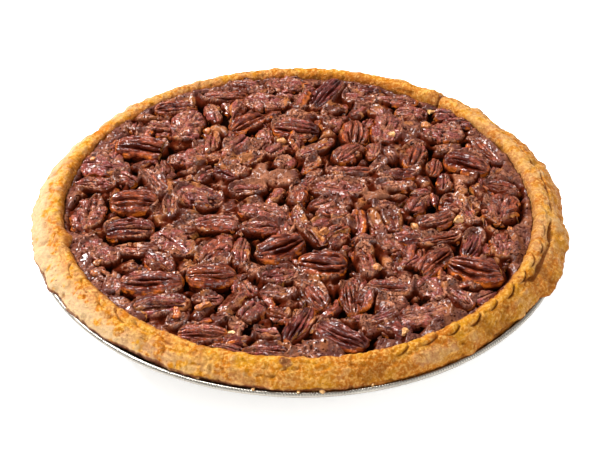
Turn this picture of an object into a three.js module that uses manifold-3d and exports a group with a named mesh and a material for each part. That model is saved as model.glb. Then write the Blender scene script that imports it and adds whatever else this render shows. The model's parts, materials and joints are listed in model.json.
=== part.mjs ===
// A whole ten-inch pecan pie in its foil tin, as a three.js scene graph.
// Millimetres, +Z up. The origin is the centre of the tin's flat underside.
//
// The pie is three turned forms, one inside the next, with the nuts on top:
//   foil_tin         a thin fluted pan with a rolled rim
//   pastry_crust     the pastry case, its crimped bead and its brim over the tin's rim
//   custard_filling  the set custard, with the broken and sunken pecans joined to it
//   pecan_NN         the pecan halves that stand clear in the custard, one mesh each

import * as THREE from "three";
import { mergeVertices } from "three/addons/utils/BufferGeometryUtils.js";
import Module from "manifold-3d";

const wasm = await Module();
wasm.setup();

// ---- Driving dimensions ----

const GAP = 0.3; // room between pieces that touch

const TIN_BASE_R = 92;
const TIN_MOUTH_R = 115; // where the sloping wall meets the flange
const TIN_MOUTH_Z = 27;
const TIN_RIM_R = 124.5;
const TIN_RIM_Z = 30; // top of the rolled edge
const FOIL = 0.6;
const TIN_FLUTES = 48;
const FLUTE_DEPTH = 0.9;

const BRIM_R = 125; // outer edge of the pastry, before its flares and seams
const BRIM_Z = 31.2;
const BEAD_R = 113.8; // crown of the raised bead
const BEAD_Z = 40.4;
const BEAD_INNER_R = 109.9;
const CREASE_R = 118; // foot of the bead, where the brim begins
const CREASE_Z = 37.8;
const CASE_THICKNESS = 4.2;
const CRIMPS = 56;
const CRIMP_DEPTH = 2.4;

const FILLING_Z = 36; // general level of the custard
const FILLING_LUMP = 0.7; // how far it rises and falls

const NUT_SEED = 20; // for how each nut is tipped, and where the broken bits lie
const BROKEN_BITS = 60; // small broken pieces scattered in what room is left
const BIT_LENGTH = { least: 11, most: 18 };
const BIT_WIDTH = 0.64; // share of its length
const BITS_WITHIN_R = 103;
const BIT_OVERLAP = 3; // how far a bit may lie over its neighbours
const NUT_ROLL = 8; // degrees to either side of level
const NUT_PITCH = 4;
const NUT_TAPER = 0.15; // how much wider one end may be than the middle

const DEG = Math.PI / 180;

// ---- Small helpers ----

// A seeded random number generator, so that every build gives the same pie.
function seeded(seed) {
  let a = seed;
  return () => {
    a = (a + 0x6d2b79f5) | 0;
    let t = Math.imul(a ^ (a >>> 15), 1 | a);
    t = (t + Math.imul(t ^ (t >>> 7), 61 | t)) ^ t;
    return ((t ^ (t >>> 14)) >>> 0) / 4294967296;
  };
}

// How far an angle is from the middle of a stretch, in degrees, the short way round.
function apart(angle, middle) {
  return Math.abs(((angle - middle + 540) % 360) - 180);
}

// A slow wave round the pie, between -1 and 1, that never repeats evenly.
function waver(angle, phase) {
  const a = angle * DEG;
  const slow = 0.5 * Math.sin(5 * a + phase);
  const middling = 0.3 * Math.sin(13 * a + 2.1 * phase);
  const quick = 0.2 * Math.sin(29 * a + 3.7 * phase);
  return slow + middling + quick;
}

function geometryOf(points, triangles) {
  const geometry = new THREE.BufferGeometry();
  geometry.setAttribute("position", new THREE.Float32BufferAttribute(points.flat(), 3));
  geometry.setIndex(triangles.flat());
  return geometry;
}

// A closed form round the Z axis. profile(degrees) gives [radius, z, turn in degrees] from the bottom
// of the axis, out, up and back to the top of the axis, with the same number of points at every angle.
function turned(segments, profile) {
  const points = [];
  const triangles = [];
  const across = profile(0).length - 2;
  for (let i = 0; i < segments; i++) {
    const degrees = (i * 360) / segments;
    profile(degrees)
      .slice(1, -1)
      .forEach(([r, z, turn = 0]) => {
        const a = (degrees + turn) * DEG;
        points.push([r * Math.cos(a), r * Math.sin(a), z]);
      });
  }
  const bottom = points.push([0, 0, profile(0)[0][1]]) - 1;
  const top = points.push([0, 0, profile(0)[across + 1][1]]) - 1;
  for (let i = 0; i < segments; i++) {
    const here = i * across;
    const next = ((i + 1) % segments) * across;
    triangles.push([bottom, next, here], [top, here + across - 1, next + across - 1]);
    for (let j = 0; j < across - 1; j++) {
      triangles.push([here + j, next + j, next + j + 1], [here + j, next + j + 1, here + j + 1]);
    }
  }
  return geometryOf(points, triangles);
}

// A closed geometry as a solid that can be joined and cut, and back again.
function solidOf(geometry) {
  const bare = geometry.clone();
  bare.deleteAttribute("normal");
  bare.deleteAttribute("uv");
  const merged = mergeVertices(bare);
  return new wasm.Manifold(
    new wasm.Mesh({
      numProp: 3,
      vertProperties: merged.attributes.position.array,
      triVerts: new Uint32Array(merged.index.array),
    }),
  );
}

function geometryFrom(solid) {
  const mesh = solid.getMesh();
  const geometry = new THREE.BufferGeometry();
  geometry.setAttribute("position", new THREE.BufferAttribute(mesh.vertProperties.slice(), 3));
  geometry.setIndex(new THREE.BufferAttribute(mesh.triVerts.slice(), 1));
  return geometry;
}

// The largest of the bodies that a cut leaves.
function largestBody(solid) {
  return solid.decompose().reduce((a, b) => (b.volume() > a.volume() ? b : a));
}

function named(name, geometry, color, roughness, metalness = 0) {
  geometry.computeVertexNormals();
  const material = new THREE.MeshStandardMaterial({ color, roughness, metalness, flatShading: true });
  const mesh = new THREE.Mesh(geometry, material);
  mesh.name = name;
  return mesh;
}

// ---- The foil tin: flat base, fluted sloping wall, flange and rolled rim ----

const ROLL_HEIGHT = 2.4; // of the rolled edge, from its underside
const FLANGE_END_R = TIN_RIM_R - 1.9;
const FLANGE_END_Z = TIN_RIM_Z - 1.4;

function foilTin() {
  const segments = 2 * TIN_FLUTES;
  return turned(segments, (degrees) => {
    const wallFlute = Math.round((degrees * segments) / 360) % 2 ? FLUTE_DEPTH : 0;
    const baseFlute = 0.4 * wallFlute;
    const rimFlute = 0.3 * wallFlute;
    return [
      [0, 0],
      [TIN_BASE_R - baseFlute, 0],
      [TIN_MOUTH_R - wallFlute, TIN_MOUTH_Z],
      [FLANGE_END_R + 0.5, TIN_RIM_Z - ROLL_HEIGHT],
      [TIN_RIM_R - rimFlute, FLANGE_END_Z],
      [TIN_RIM_R - 0.4 - rimFlute, TIN_RIM_Z],
      [FLANGE_END_R, FLANGE_END_Z],
      [TIN_MOUTH_R - FOIL - wallFlute, TIN_MOUTH_Z + FOIL],
      [TIN_BASE_R - FOIL - baseFlute, FOIL],
      [0, FOIL],
    ];
  });
}

// ---- The pastry case ----

// The brim stands a little further out at both sides, where it folds over the tin's rim, and stays
// inside it along the front. Two flaps end in steps, and the back has a lapped seam and a notch.
const RIGHT_FLAP_END = -27;
const LEFT_FLAP_END = 208;
const SEAM = { at: 57, stands: 3, reach: 4 }; // degrees, millimetres, degrees
const NOTCH = { at: 148, depth: 3.5, reach: 5 };
const BRIM_MOST_R = 126.4;
const CRIMP_SLANT = 1.1; // degrees by which the crimps lean round the rim
const BEAD_FOOT_Z = FILLING_Z + 0.6; // where the custard meets the pastry

function brimRadius(degrees) {
  const angle = ((degrees + 90) % 360) - 90;
  const inFront = angle < RIGHT_FLAP_END || angle > LEFT_FLAP_END;
  let r = BRIM_R + 0.4 * waver(degrees, 1);
  if (inFront) r -= 2.4;
  else if (angle < SEAM.at - 3) r += 1;
  else if (angle < NOTCH.at) r -= 1.2;
  r += SEAM.stands * Math.max(0, 1 - apart(degrees, SEAM.at) / SEAM.reach);
  r -= NOTCH.depth * Math.max(0, 1 - apart(degrees, NOTCH.at) / NOTCH.reach);
  return Math.min(r, BRIM_MOST_R);
}

// The crimps are deepest at the front corners and shallow at the front and back.
function crimpDepth(degrees) {
  const corner = Math.min(apart(degrees, -40), apart(degrees, 222));
  return CRIMP_DEPTH * (0.5 + 0.5 * Math.max(0, 1 - corner / 45));
}

// The radius of the space inside the tin's wall at a height, less an inset.
function insideTin(z, inset) {
  const slope = (TIN_MOUTH_R - TIN_BASE_R) / TIN_MOUTH_Z;
  return TIN_BASE_R - FLUTE_DEPTH - FOIL + slope * z - inset;
}

function pastryCrust() {
  const segments = 2 * CRIMPS;
  const bottom = FOIL + GAP;
  const floor = bottom + CASE_THICKNESS;
  const overRim = TIN_RIM_Z + GAP;
  return turned(segments, (degrees) => {
    const crimp = Math.round((degrees * segments) / 360) % 2 ? crimpDepth(degrees) : 0;
    const edge = brimRadius(degrees);
    const crag = waver(degrees, 4);
    return [
      [0, bottom],
      [insideTin(0, GAP), bottom],
      [insideTin(TIN_MOUTH_Z - 1, GAP), TIN_MOUTH_Z + FOIL],
      [Math.min(edge - 1.6, FLANGE_END_R - 0.7), overRim - 0.7],
      [edge - 0.9, overRim],
      [edge, BRIM_Z + 0.4 * crag],
      [0.35 * CREASE_R + 0.65 * edge, (BRIM_Z + CREASE_Z) / 2 + 0.6 * crag],
      [CREASE_R - 0.3 * crimp, CREASE_Z - 0.5 * crimp, CRIMP_SLANT],
      [CREASE_R - 1 - crimp, BEAD_Z - 1.2 - 0.8 * crimp, CRIMP_SLANT],
      [BEAD_R + 0.3 * crag, BEAD_Z + 0.3 * crag],
      [BEAD_INNER_R + 0.9, BEAD_Z - 1.5],
      [BEAD_INNER_R, BEAD_FOOT_Z],
      [insideTin(floor, CASE_THICKNESS + GAP), floor],
      [0, floor],
    ];
  });
}

// ---- The custard ----

function custardLevel(x, y) {
  const slow = Math.sin(x / 17 + 1.3) * Math.cos(y / 21 + 0.4);
  const quick = Math.sin(x / 7.3 + y / 9.1) * Math.cos(y / 6.1 - x / 11.7);
  return FILLING_Z + FILLING_LUMP * (0.5 * slow + 0.5 * quick);
}

// The space inside the case, up to well above it: custard and nuts are kept within it.
const CAVITY_FLOOR = FOIL + GAP + CASE_THICKNESS + GAP;
const CAVITY_FLOOR_R = insideTin(CAVITY_FLOOR, CASE_THICKNESS + 2 * GAP);
const CAVITY_MOUTH_R = BEAD_INNER_R - 0.5;
const CAVITY_TOP = BEAD_Z + 20;

function cavity() {
  return turned(2 * CRIMPS, () => [
    [0, CAVITY_FLOOR],
    [CAVITY_FLOOR_R, CAVITY_FLOOR],
    [CAVITY_MOUTH_R, BEAD_FOOT_Z],
    [CAVITY_MOUTH_R, CAVITY_TOP],
    [0, CAVITY_TOP],
  ]);
}

const CORE_SEGMENTS = 48;
const CORE_RINGS = [100, 84, 66, 46, 24]; // radii at which the surface follows its level

function custardCore() {
  return turned(CORE_SEGMENTS, (degrees) => {
    const c = Math.cos(degrees * DEG);
    const s = Math.sin(degrees * DEG);
    return [
      [0, CAVITY_FLOOR],
      [CAVITY_FLOOR_R, CAVITY_FLOOR],
      [CAVITY_MOUTH_R, BEAD_FOOT_Z],
      ...CORE_RINGS.map((r) => [r, custardLevel(r * c, r * s)]),
      [0, custardLevel(0, 0)],
    ];
  });
}

// ---- The pecans ----

// Cross-sections of a nut, as [share of the half width, share of the height]: over the top from one
// edge to the other, closed along the flat side. A domed half shows two long grooves, a half lying on
// its back shows the cleft between its lobes, slivers have one groove and bits are plain.
const SECTIONS = {
  domed: [[1, 0.08], [0.8, 0.78], [0.4, 0.77], [0, 1], [-0.4, 0.77], [-0.8, 0.78], [-1, 0.08]],
  cleft: [[1, 0.08], [0.84, 0.84], [0.42, 1], [0, 0.55], [-0.42, 0.96], [-0.86, 0.8], [-1, 0.08]],
  sliver: [[1, 0.1], [0.66, 0.95], [0, 0.72], [-0.66, 0.95], [-1, 0.1]],
  bit: [[1, 0.1], [0.62, 1], [-0.66, 0.86], [-1, 0.1]],
};
const ROOM_SECTION = [[1, 0], [0.86, 1], [-0.86, 1], [-1, 0]];
const TIP_HEIGHT = 0.48; // share of the height
const MIDDLE_HEIGHT = 0.4; // the level that growth is measured from
const LONG_NUT = 18; // a nut this long has one more section along it
const HEIGHT_TO_WIDTH = { domed: 0.54, cleft: 0.44, sliver: 0.6, bit: 0.55 };
const SINK = { proud: 0.26, level: 0.42, sunken: 0.52 }; // share of the height under the custard

// Each row: kind, x, y, heading in degrees, length, width and how high the nut lies.
// The halves come in the order in which they overlap, uppermost first.
const HALVES = [
  ["domed", -76, 46, -8, 27, 16, "proud"],
  ["domed", 13, 93, 62, 29, 13, "proud"],
  ["domed", 81, 35, -25, 24, 15, "proud"],
  ["domed", -77, 1, -2, 23, 17, "proud"],
  ["domed", -65, -60, 3, 29, 17, "proud"],
  ["domed", -39, -55, 8, 23, 17, "proud"],
  ["domed", -8, -34, 30, 25, 18, "proud"],
  ["domed", 11, -46, -3, 23, 19, "proud"],
  ["domed", 81, -47, -12, 28, 17, "proud"],
  ["domed", 19, -95, -38, 27, 15, "proud"],
  ["domed", -78, -19, 5, 24, 17, "level"],
  ["domed", 90, 47, -62, 28, 11, "level"],
  ["domed", 27, 61, 88, 22, 15, "level"],
  ["domed", -2, 65, -8, 24, 17, "level"],
  ["domed", -60, -75, 8, 27, 15, "level"],
  ["domed", 1, -86, 68, 27, 12, "level"],
  ["domed", 62, -41, 50, 23, 14, "level"],
  ["domed", 65, -24, 22, 22, 11, "level"],
  ["domed", 80, -28, 75, 23, 11, "level"],
  ["domed", 41, -61, -5, 22, 14, "level"],
  ["domed", 31, -42, -78, 23, 11, "level"],
  ["domed", 8, -67, -62, 18, 12, "level"],
  ["domed", 23, -67, -85, 24, 9, "level"],
  ["domed", -68, 18, -58, 26, 10, "level"],
  ["domed", -62, 80, 10, 22, 12, "level"],
  ["domed", -38, 90, 3, 26, 12, "level"],
  ["domed", -26, 69, 40, 20, 13, "level"],
  ["domed", 56, 42, 75, 22, 13, "level"],
  ["domed", 24, 44, 50, 20, 13, "level"],
  ["domed", 64, -9, 25, 20, 11, "level"],
  ["domed", -63, -44, -45, 18, 12, "level"],
  ["domed", -41, -93, 0, 22, 12, "level"],
  ["domed", -75, -35, 5, 24, 10, "sunken"],
  ["domed", -97, 16, -8, 21, 12, "sunken"],
  ["domed", 97, 17, -25, 19, 12, "sunken"],
  ["domed", 72, -66, -50, 18, 10, "sunken"],
  ["cleft", -47, 6, -18, 25, 17, "level"],
  ["cleft", -55, 64, 70, 27, 17, "level"],
  ["cleft", -17, 86, -5, 24, 14, "level"],
  ["cleft", -8, 101, 0, 20, 13, "level"],
  ["cleft", 43, 64, 82, 27, 16, "level"],
  ["cleft", 70, 61, -10, 23, 17, "level"],
  ["cleft", -16, -5, -22, 26, 15, "level"],
  ["cleft", 18, 14, -10, 30, 15, "sunken"],
  ["cleft", 8, 47, 42, 24, 10, "sunken"],
  ["cleft", 95, -1, 80, 25, 18, "level"],
  ["cleft", 94, -29, 78, 22, 12, "level"],
  ["cleft", -57, -30, -48, 25, 15, "level"],
  ["cleft", -38, -34, 57, 25, 13, "level"],
  ["cleft", -9, -53, 10, 19, 12, "level"],
  ["cleft", -93, 31, -12, 25, 16, "level"],
  ["cleft", -98, -8, 85, 27, 16, "level"],
  ["cleft", -90, -37, -50, 23, 14, "level"],
  ["cleft", -54, 37, -5, 20, 13, "level"],
  ["cleft", 59, -61, -60, 19, 13, "level"],
  ["cleft", 56, -79, 15, 25, 14, "level"],
];

// Broken and nearly buried pieces: these are joined to the custard.
const BROKEN = [
  ["sliver", -16, 57, 100, 15, 8, "level"],
  ["sliver", 69, 19, 88, 16, 7, "proud"],
  ["sliver", 65, 33, 78, 15, 7, "proud"],
  ["sliver", 24, 28, 0, 23, 11, "level"],
  ["sliver", -60, -3, 95, 17, 7, "proud"],
  ["sliver", 1, -13, -72, 19, 7, "proud"],
  ["sliver", 36, -14, -75, 24, 7, "level"],
  ["sliver", -26, -36, 88, 24, 9, "level"],
  ["sliver", -9, -66, -5, 18, 8, "level"],
  ["sliver", -13, -104, -3, 22, 8, "level"],
  ["sliver", 36, -82, 28, 21, 8, "level"],
  ["sliver", -40, -70, 5, 15, 7, "level"],
  ["sliver", -22, -62, -60, 13, 8, "level"],
  ["sliver", 50, -42, 50, 16, 7, "level"],
  ["sliver", -43, 75, -68, 16, 8, "level"],
  ["sliver", 80, 72, -8, 18, 8, "level"],
  ["sliver", 30, 90, -12, 18, 11, "level"],
  ["sliver", 33, 99, 0, 17, 9, "level"],
  ["sliver", 48, 90, -5, 24, 9, "level"],
  ["sliver", 56, 78, -8, 18, 11, "level"],
  ["sliver", 72, 79, -5, 13, 9, "level"],
  ["sliver", -28, 102, -15, 15, 8, "level"],
  ["sliver", -18, -17, 0, 19, 11, "level"],
  ["sliver", -38, -14, 0, 23, 14, "level"],
  ["sliver", 50, -24, -10, 15, 12, "level"],
  ["sliver", 48, 27, 12, 22, 9, "level"],
  ["sliver", 46, 17, 5, 21, 9, "level"],
  ["sliver", 56, 4, 55, 19, 11, "level"],
  ["sliver", 73, 3, -40, 14, 11, "level"],
  ["sliver", 80, -8, -65, 14, 8, "level"],
  ["sliver", -36, 24, -20, 15, 9, "proud"],
  ["sliver", -24, 12, 5, 19, 11, "level"],
  ["sliver", -11, 46, 52, 16, 11, "level"],
  ["sliver", -30, 50, 60, 18, 12, "level"],
  ["sliver", -43, 50, 90, 16, 9, "level"],
  ["sliver", -82, 20, -30, 13, 11, "level"],
  ["sliver", -21, -78, 60, 14, 12, "level"],
  ["sliver", -13, -93, -5, 14, 9, "level"],
  ["sliver", -30, -103, -10, 15, 8, "level"],
  ["sliver", 36, 45, 90, 13, 8, "proud"],
  ["sliver", 45, -73, 25, 10, 8, "level"],
  ["sliver", 84, -65, 35, 13, 8, "level"],
  ["bit", -80, 64, 90, 10, 8, "level"],
  ["bit", -70, 64, 0, 11, 9, "level"],
  ["bit", -50, -13, 20, 10, 6, "level"],
  ["bit", -34, -83, 40, 10, 8, "level"],
  ["bit", -26, -88, 80, 9, 8, "level"],
];

// A nut in its own frame: long axis along X, flat side down on z = 0. A little growth all round,
// with a plain section, gives the form that cuts room for it in its neighbours.
function nutGeometry(nut, growth) {
  const section = growth > 0 ? ROOM_SECTION : SECTIONS[nut.kind];
  const stations = nut.length < LONG_NUT ? [-0.55, 0.6] : [-0.72, 0.02, 0.74];
  const points = [];
  const triangles = [];
  const around = section.length;
  stations.forEach((along) => {
    const swell = Math.sqrt(1 - Math.abs(along) ** 3);
    const halfWidth = (nut.width / 2) * swell * (1 + nut.taper * along);
    const height = nut.height * (0.35 + 0.65 * swell);
    section.forEach(([across, up]) => {
      const y = across * halfWidth;
      const above = (up - MIDDLE_HEIGHT) * height;
      const grown = 1 + growth / Math.hypot(y, above);
      points.push([(along * nut.length) / 2, y * grown, MIDDLE_HEIGHT * height + above * grown]);
    });
  });
  const tip = nut.length / 2 + growth;
  const back = points.push([-tip, 0, TIP_HEIGHT * nut.height]) - 1;
  const front = points.push([tip, 0, TIP_HEIGHT * nut.height]) - 1;
  const last = (stations.length - 1) * around;
  for (let k = 0; k < around; k++) {
    const next = (k + 1) % around;
    triangles.push([back, next, k], [front, last + k, last + next]);
    for (let i = 0; i < last; i += around) {
      triangles.push([i + k, i + next, i + around + next], [i + k, i + around + next, i + around + k]);
    }
  }
  return geometryOf(points, triangles);
}

function nutFrom([kind, x, y, heading, length, width, lie], random) {
  const eitherWay = (most) => most * (2 * random() - 1);
  const height = width * HEIGHT_TO_WIDTH[kind];
  const rest = new THREE.Object3D();
  rest.position.set(x, y, custardLevel(x, y) - SINK[lie] * height);
  rest.rotation.set(eitherWay(NUT_ROLL) * DEG, eitherWay(NUT_PITCH) * DEG, heading * DEG, "ZYX");
  rest.updateMatrix();
  return { kind, x, y, heading, length, width, height, taper: eitherWay(NUT_TAPER), place: rest.matrix };
}

function nutSolid(nut, growth) {
  return solidOf(nutGeometry(nut, growth).applyMatrix4(nut.place));
}

// How far apart two nuts lie, with each taken as a round-ended bar.
function roomBetween(a, b) {
  const spine = (nut) => {
    const reach = Math.max(0, nut.length - nut.width) / 2;
    const c = Math.cos(nut.heading * DEG);
    const s = Math.sin(nut.heading * DEG);
    return [-1, -0.5, 0, 0.5, 1].map((t) => [nut.x + t * reach * c, nut.y + t * reach * s]);
  };
  let least = Infinity;
  spine(a).forEach(([ax, ay]) => {
    spine(b).forEach(([bx, by]) => {
      least = Math.min(least, Math.hypot(ax - bx, ay - by));
    });
  });
  return least - (a.width + b.width) / 2;
}

// Small bits of nut, wherever there is still room among the larger pieces.
const MOST_TRIES = 6000;

function scatterBits(others, random) {
  const bits = [];
  for (let tries = 0; bits.length < BROKEN_BITS && tries < MOST_TRIES; tries++) {
    const r = BITS_WITHIN_R * Math.sqrt(random());
    const a = 2 * Math.PI * random();
    const length = BIT_LENGTH.least + (BIT_LENGTH.most - BIT_LENGTH.least) * random();
    const heading = 360 * random();
    const row = ["bit", r * Math.cos(a), r * Math.sin(a), heading, length, BIT_WIDTH * length, "level"];
    const bit = nutFrom(row, random);
    if (others.concat(bits).every((other) => roomBetween(bit, other) > -BIT_OVERLAP)) bits.push(bit);
  }
  return bits;
}

// ---- The pie put together ----

const NUT_FLATTEN = 0.05; // how closely the cut solids keep to their exact faces
const CUSTARD_FLATTEN = 0.12;

const random = seeded(NUT_SEED);
const halves = HALVES.map((row) => nutFrom(row, random));
const broken = BROKEN.map((row) => nutFrom(row, random));
const bits = scatterBits(halves.concat(broken), random);
const inside = solidOf(cavity());

// Each half is cut clear of the halves that lie over it.
const roomForHalves = halves.map((nut) => nutSolid(nut, GAP));
const halfSolids = halves.map((nut, i) => {
  const over = roomForHalves.slice(0, i).filter((room, j) => roomBetween(nut, halves[j]) < 2);
  const cut = over.reduce((solid, room) => solid.subtract(room), nutSolid(nut, 0).intersect(inside));
  return largestBody(cut).asOriginal().simplify(NUT_FLATTEN);
});

// The custard carries the broken pieces, and has a hollow for each half.
let custard = solidOf(custardCore());
broken.concat(bits).forEach((nut) => {
  custard = custard.add(nutSolid(nut, 0));
});
custard = custard.intersect(inside);
roomForHalves.forEach((room) => {
  custard = custard.subtract(room);
});
custard = largestBody(custard).asOriginal().simplify(CUSTARD_FLATTEN);

const pie = new THREE.Group();
pie.add(named("foil_tin", foilTin(), 0xc9ccd0, 0.32, 1));
pie.add(named("pastry_crust", pastryCrust(), 0xd9993f, 0.75));
pie.add(named("custard_filling", geometryFrom(custard), 0x7a4a30, 0.35));

halves.forEach((nut, i) => {
  const name = "pecan_" + String(i + 1).padStart(2, "0");
  const geometry = geometryFrom(halfSolids[i]).applyMatrix4(nut.place.clone().invert());
  const mesh = named(name, geometry, nut.kind === "domed" ? 0x7d2f22 : 0x8a4a3a, 0.35);
  mesh.applyMatrix4(nut.place);
  pie.add(mesh);
});

export default pie;
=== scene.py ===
"""A whole ten-inch pecan pie in its foil tin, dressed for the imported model.

The sections follow the pie as it is put together: the tin, the pastry case, the pecans, the custard round
them and the crumbs, and then the floor, the light and the camera. Sizes are in millimetres until a mesh is
made, and meshes in metres.
"""

import itertools
import json
import math

import bpy
import numpy as np
from mathutils import Matrix

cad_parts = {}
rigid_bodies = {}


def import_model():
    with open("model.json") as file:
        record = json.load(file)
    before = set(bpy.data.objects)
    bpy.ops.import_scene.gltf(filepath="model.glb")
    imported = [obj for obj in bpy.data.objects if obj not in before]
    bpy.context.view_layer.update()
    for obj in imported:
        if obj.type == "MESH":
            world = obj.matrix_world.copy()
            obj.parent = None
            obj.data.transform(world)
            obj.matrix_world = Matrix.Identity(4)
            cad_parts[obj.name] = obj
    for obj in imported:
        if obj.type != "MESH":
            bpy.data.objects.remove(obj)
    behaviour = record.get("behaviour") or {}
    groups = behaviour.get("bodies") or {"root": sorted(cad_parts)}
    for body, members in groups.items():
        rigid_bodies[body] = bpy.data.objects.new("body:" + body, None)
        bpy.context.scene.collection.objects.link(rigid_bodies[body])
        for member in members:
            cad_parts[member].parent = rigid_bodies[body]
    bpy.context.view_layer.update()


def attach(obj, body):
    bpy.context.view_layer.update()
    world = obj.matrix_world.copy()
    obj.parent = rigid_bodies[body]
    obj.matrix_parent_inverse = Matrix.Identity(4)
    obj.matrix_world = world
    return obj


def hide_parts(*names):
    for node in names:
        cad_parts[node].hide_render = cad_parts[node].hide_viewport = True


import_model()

# ---- The foil tin ----
# A ten-inch pie tin drawn down from thin soft aluminium foil. The wall pleats as it is pressed, and the rim
# is rolled outwards and crimped. The metal is bright, with small dents and creases from handling.

MM = 0.001

TIN_BASE_R = 92
TIN_MOUTH_R = 115
TIN_MOUTH_Z = 27
TIN_RIM_R = 124.5
TIN_RIM_Z = 30
FOIL = 0.6
FLANGE = 4
ROLL_R = 1.2  # of the rolled rim's own section
RIBS = [(26, 28.5, 33.5, 36), (56, 58.5, 63.5, 66)]  # radii of the rings pressed into the base
RIB_HEIGHT = 0.25
TIN_PLEATS = 144
PLEAT_DEPTH = 0.8
RIM_CRIMPS = 600  # one every 1.3 mm
RIM_CRIMP_DEPTH = 0.42
DENTS = [(0.22, 11, 1), (0.1, 4, 2)]  # height and size in millimetres, and seed
WALL_SET_IN = 0.25  # keeps the dents inside the tin's own size
RIM_SAG = 0.15
TIN_COLUMNS = 2400


def grain(points, size, seed):
    """Smooth random relief between -1 and 1 at each of the points, with lumps about `size` across."""
    place = points / size + seed * 17.31
    cell = np.floor(place).astype(np.int64)
    t = place - cell
    t = t * t * (3 - 2 * t)
    total = np.zeros(place.shape[:-1])
    for corner in itertools.product((0, 1), repeat=3):
        c = (cell + corner).astype(np.uint64)
        mixed = c[..., 0] * 73856093 ^ c[..., 1] * 19349663 ^ c[..., 2] * 83492791
        mixed = (mixed ^ mixed >> 13) * 1274126177
        mixed = (mixed ^ mixed >> 16) & 0xFFFF
        weight = np.prod(np.where(corner, t, 1 - t), axis=-1)
        total += weight * (mixed / 32767.5 - 1)
    return total


def grains(points, layers):
    """Several grains laid over each other, each given as its height, size and seed."""
    return sum(height * grain(points, size, seed) for height, size, seed in layers)


def smooth_step(low, high, value):
    """0 at low and 1 at high, with a soft rise between; low may be the greater of the two."""
    t = np.clip((value - low) / (high - low), 0, 1)
    return t * t * (3 - 2 * t)


def hump(away, reach):
    """1 on a line and falling softly away from it, to about a third at the reach."""
    return np.exp(-((away / reach) ** 2))


def turned(r, z, turn):
    """Points in columns, turned round Z."""
    x = r * np.cos(turn)
    return np.stack([x, r * np.sin(turn), z + 0 * x], axis=-1).reshape(-1, 3)


def turned_faces(columns, rows):
    """Quads between columns of points turned round Z, and a fan round each of the two poles after them."""
    here = np.arange(columns)[:, None] * rows + np.arange(rows - 1)[None, :]
    beyond = np.roll(here, -1, axis=0)
    faces = np.stack([here, beyond, beyond + 1, here + 1], axis=-1).reshape(-1, 4).tolist()
    pole = columns * rows
    for a, b in zip(here[:, 0].tolist(), beyond[:, 0].tolist()):
        faces.append([pole, b, a])
        faces.append([pole + 1, a + rows - 1, b + rows - 1])
    return faces


def mesh_piece(name, points, faces, **masks):
    """A smooth-shaded object from points in millimetres. A mask has one number to a point, and is 0 at any
    points left over, such as poles."""
    mesh = bpy.data.meshes.new(name)
    mesh.from_pydata((np.asarray(points) * MM).tolist(), [], faces)
    mesh.polygons.foreach_set("use_smooth", [True] * len(mesh.polygons))
    for key, values in masks.items():
        numbers = np.zeros(len(points), np.float32)
        numbers[: np.size(values)] = np.ravel(values)
        mesh.attributes.new(key, "FLOAT", "POINT").data.foreach_set("value", numbers)
    piece = bpy.data.objects.new(name, mesh)
    bpy.context.scene.collection.objects.link(piece)
    return piece


def linear(colour):
    """An sRGB hex colour as linear red, green, blue and alpha."""
    channels = [int(colour[i : i + 2], 16) / 255 for i in (1, 3, 5)]
    return [c / 12.92 if c <= 0.04045 else ((c + 0.055) / 1.055) ** 2.4 for c in channels] + [1]


def add(tree, kind, inputs=(), **settings):
    """Adds a node: settings are its properties, and inputs are pairs of a socket and its value or link."""
    made = tree.nodes.new(kind)
    for key, value in settings.items():
        setattr(made, key, value)
    for key, value in inputs:
        if isinstance(value, bpy.types.NodeSocket):
            tree.links.new(value, made.inputs[key])
        else:
            made.inputs[key].default_value = value
    return made


def new_material(name, **constants):
    """A material with a bare Principled shader, whose constant inputs are set on its own sockets."""
    material = bpy.data.materials.new(name)
    material.use_nodes = True
    tree = material.node_tree
    tree.nodes.clear()
    inputs = [(socket.replace("_", " "), value) for socket, value in constants.items()]
    shader = add(tree, "ShaderNodeBsdfPrincipled", inputs)
    add(tree, "ShaderNodeOutputMaterial", [("Surface", shader.outputs[0])])
    return material, tree, shader


def pattern(tree, source, low=None, high=None, most=1.0, least=0.0):
    """How strongly something shows over a surface. The source is the name of one of the mesh's masks, the
    size in millimetres of cloudy blotches with their detail and roughness, an operation and the two sources
    that it joins, or another node's output. Its stretch from low to high is spread over least to most."""
    if isinstance(source, str):
        source = add(tree, "ShaderNodeAttribute", attribute_name=source).outputs["Fac"]
    elif isinstance(source, tuple) and isinstance(source[0], str):
        inputs = [(0, pattern(tree, source[1])), (1, pattern(tree, source[2]))]
        source = add(tree, "ShaderNodeMath", inputs, operation=source[0]).outputs[0]
    elif isinstance(source, tuple):
        size, detail, roughness = (*source, 0.5)[:3]
        place = add(tree, "ShaderNodeTexCoord").outputs["Object"]
        inputs = [("Vector", place), ("Scale", 1 / (size * MM)), ("Detail", detail), ("Roughness", roughness)]
        source = add(tree, "ShaderNodeTexNoise", inputs).outputs["Fac"]
    if low is None:
        return source
    inputs = [("Value", source), (1, low), (2, high), (3, least), (4, most)]
    return add(tree, "ShaderNodeMapRange", inputs, interpolation_type="SMOOTHSTEP").outputs[0]


def layered(tree, colour, layers):
    """Colours laid one over another. Each layer is its colour and then the pattern that it shows by."""
    for over, *shows_by in layers:
        share = pattern(tree, *shows_by)
        under, over = [linear(c) if isinstance(c, str) else c for c in (colour, over)]
        inputs = [(0, share), (6, under), (7, over)]
        colour = add(tree, "ShaderNodeMix", inputs, data_type="RGBA").outputs[2]
    return colour


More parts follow.
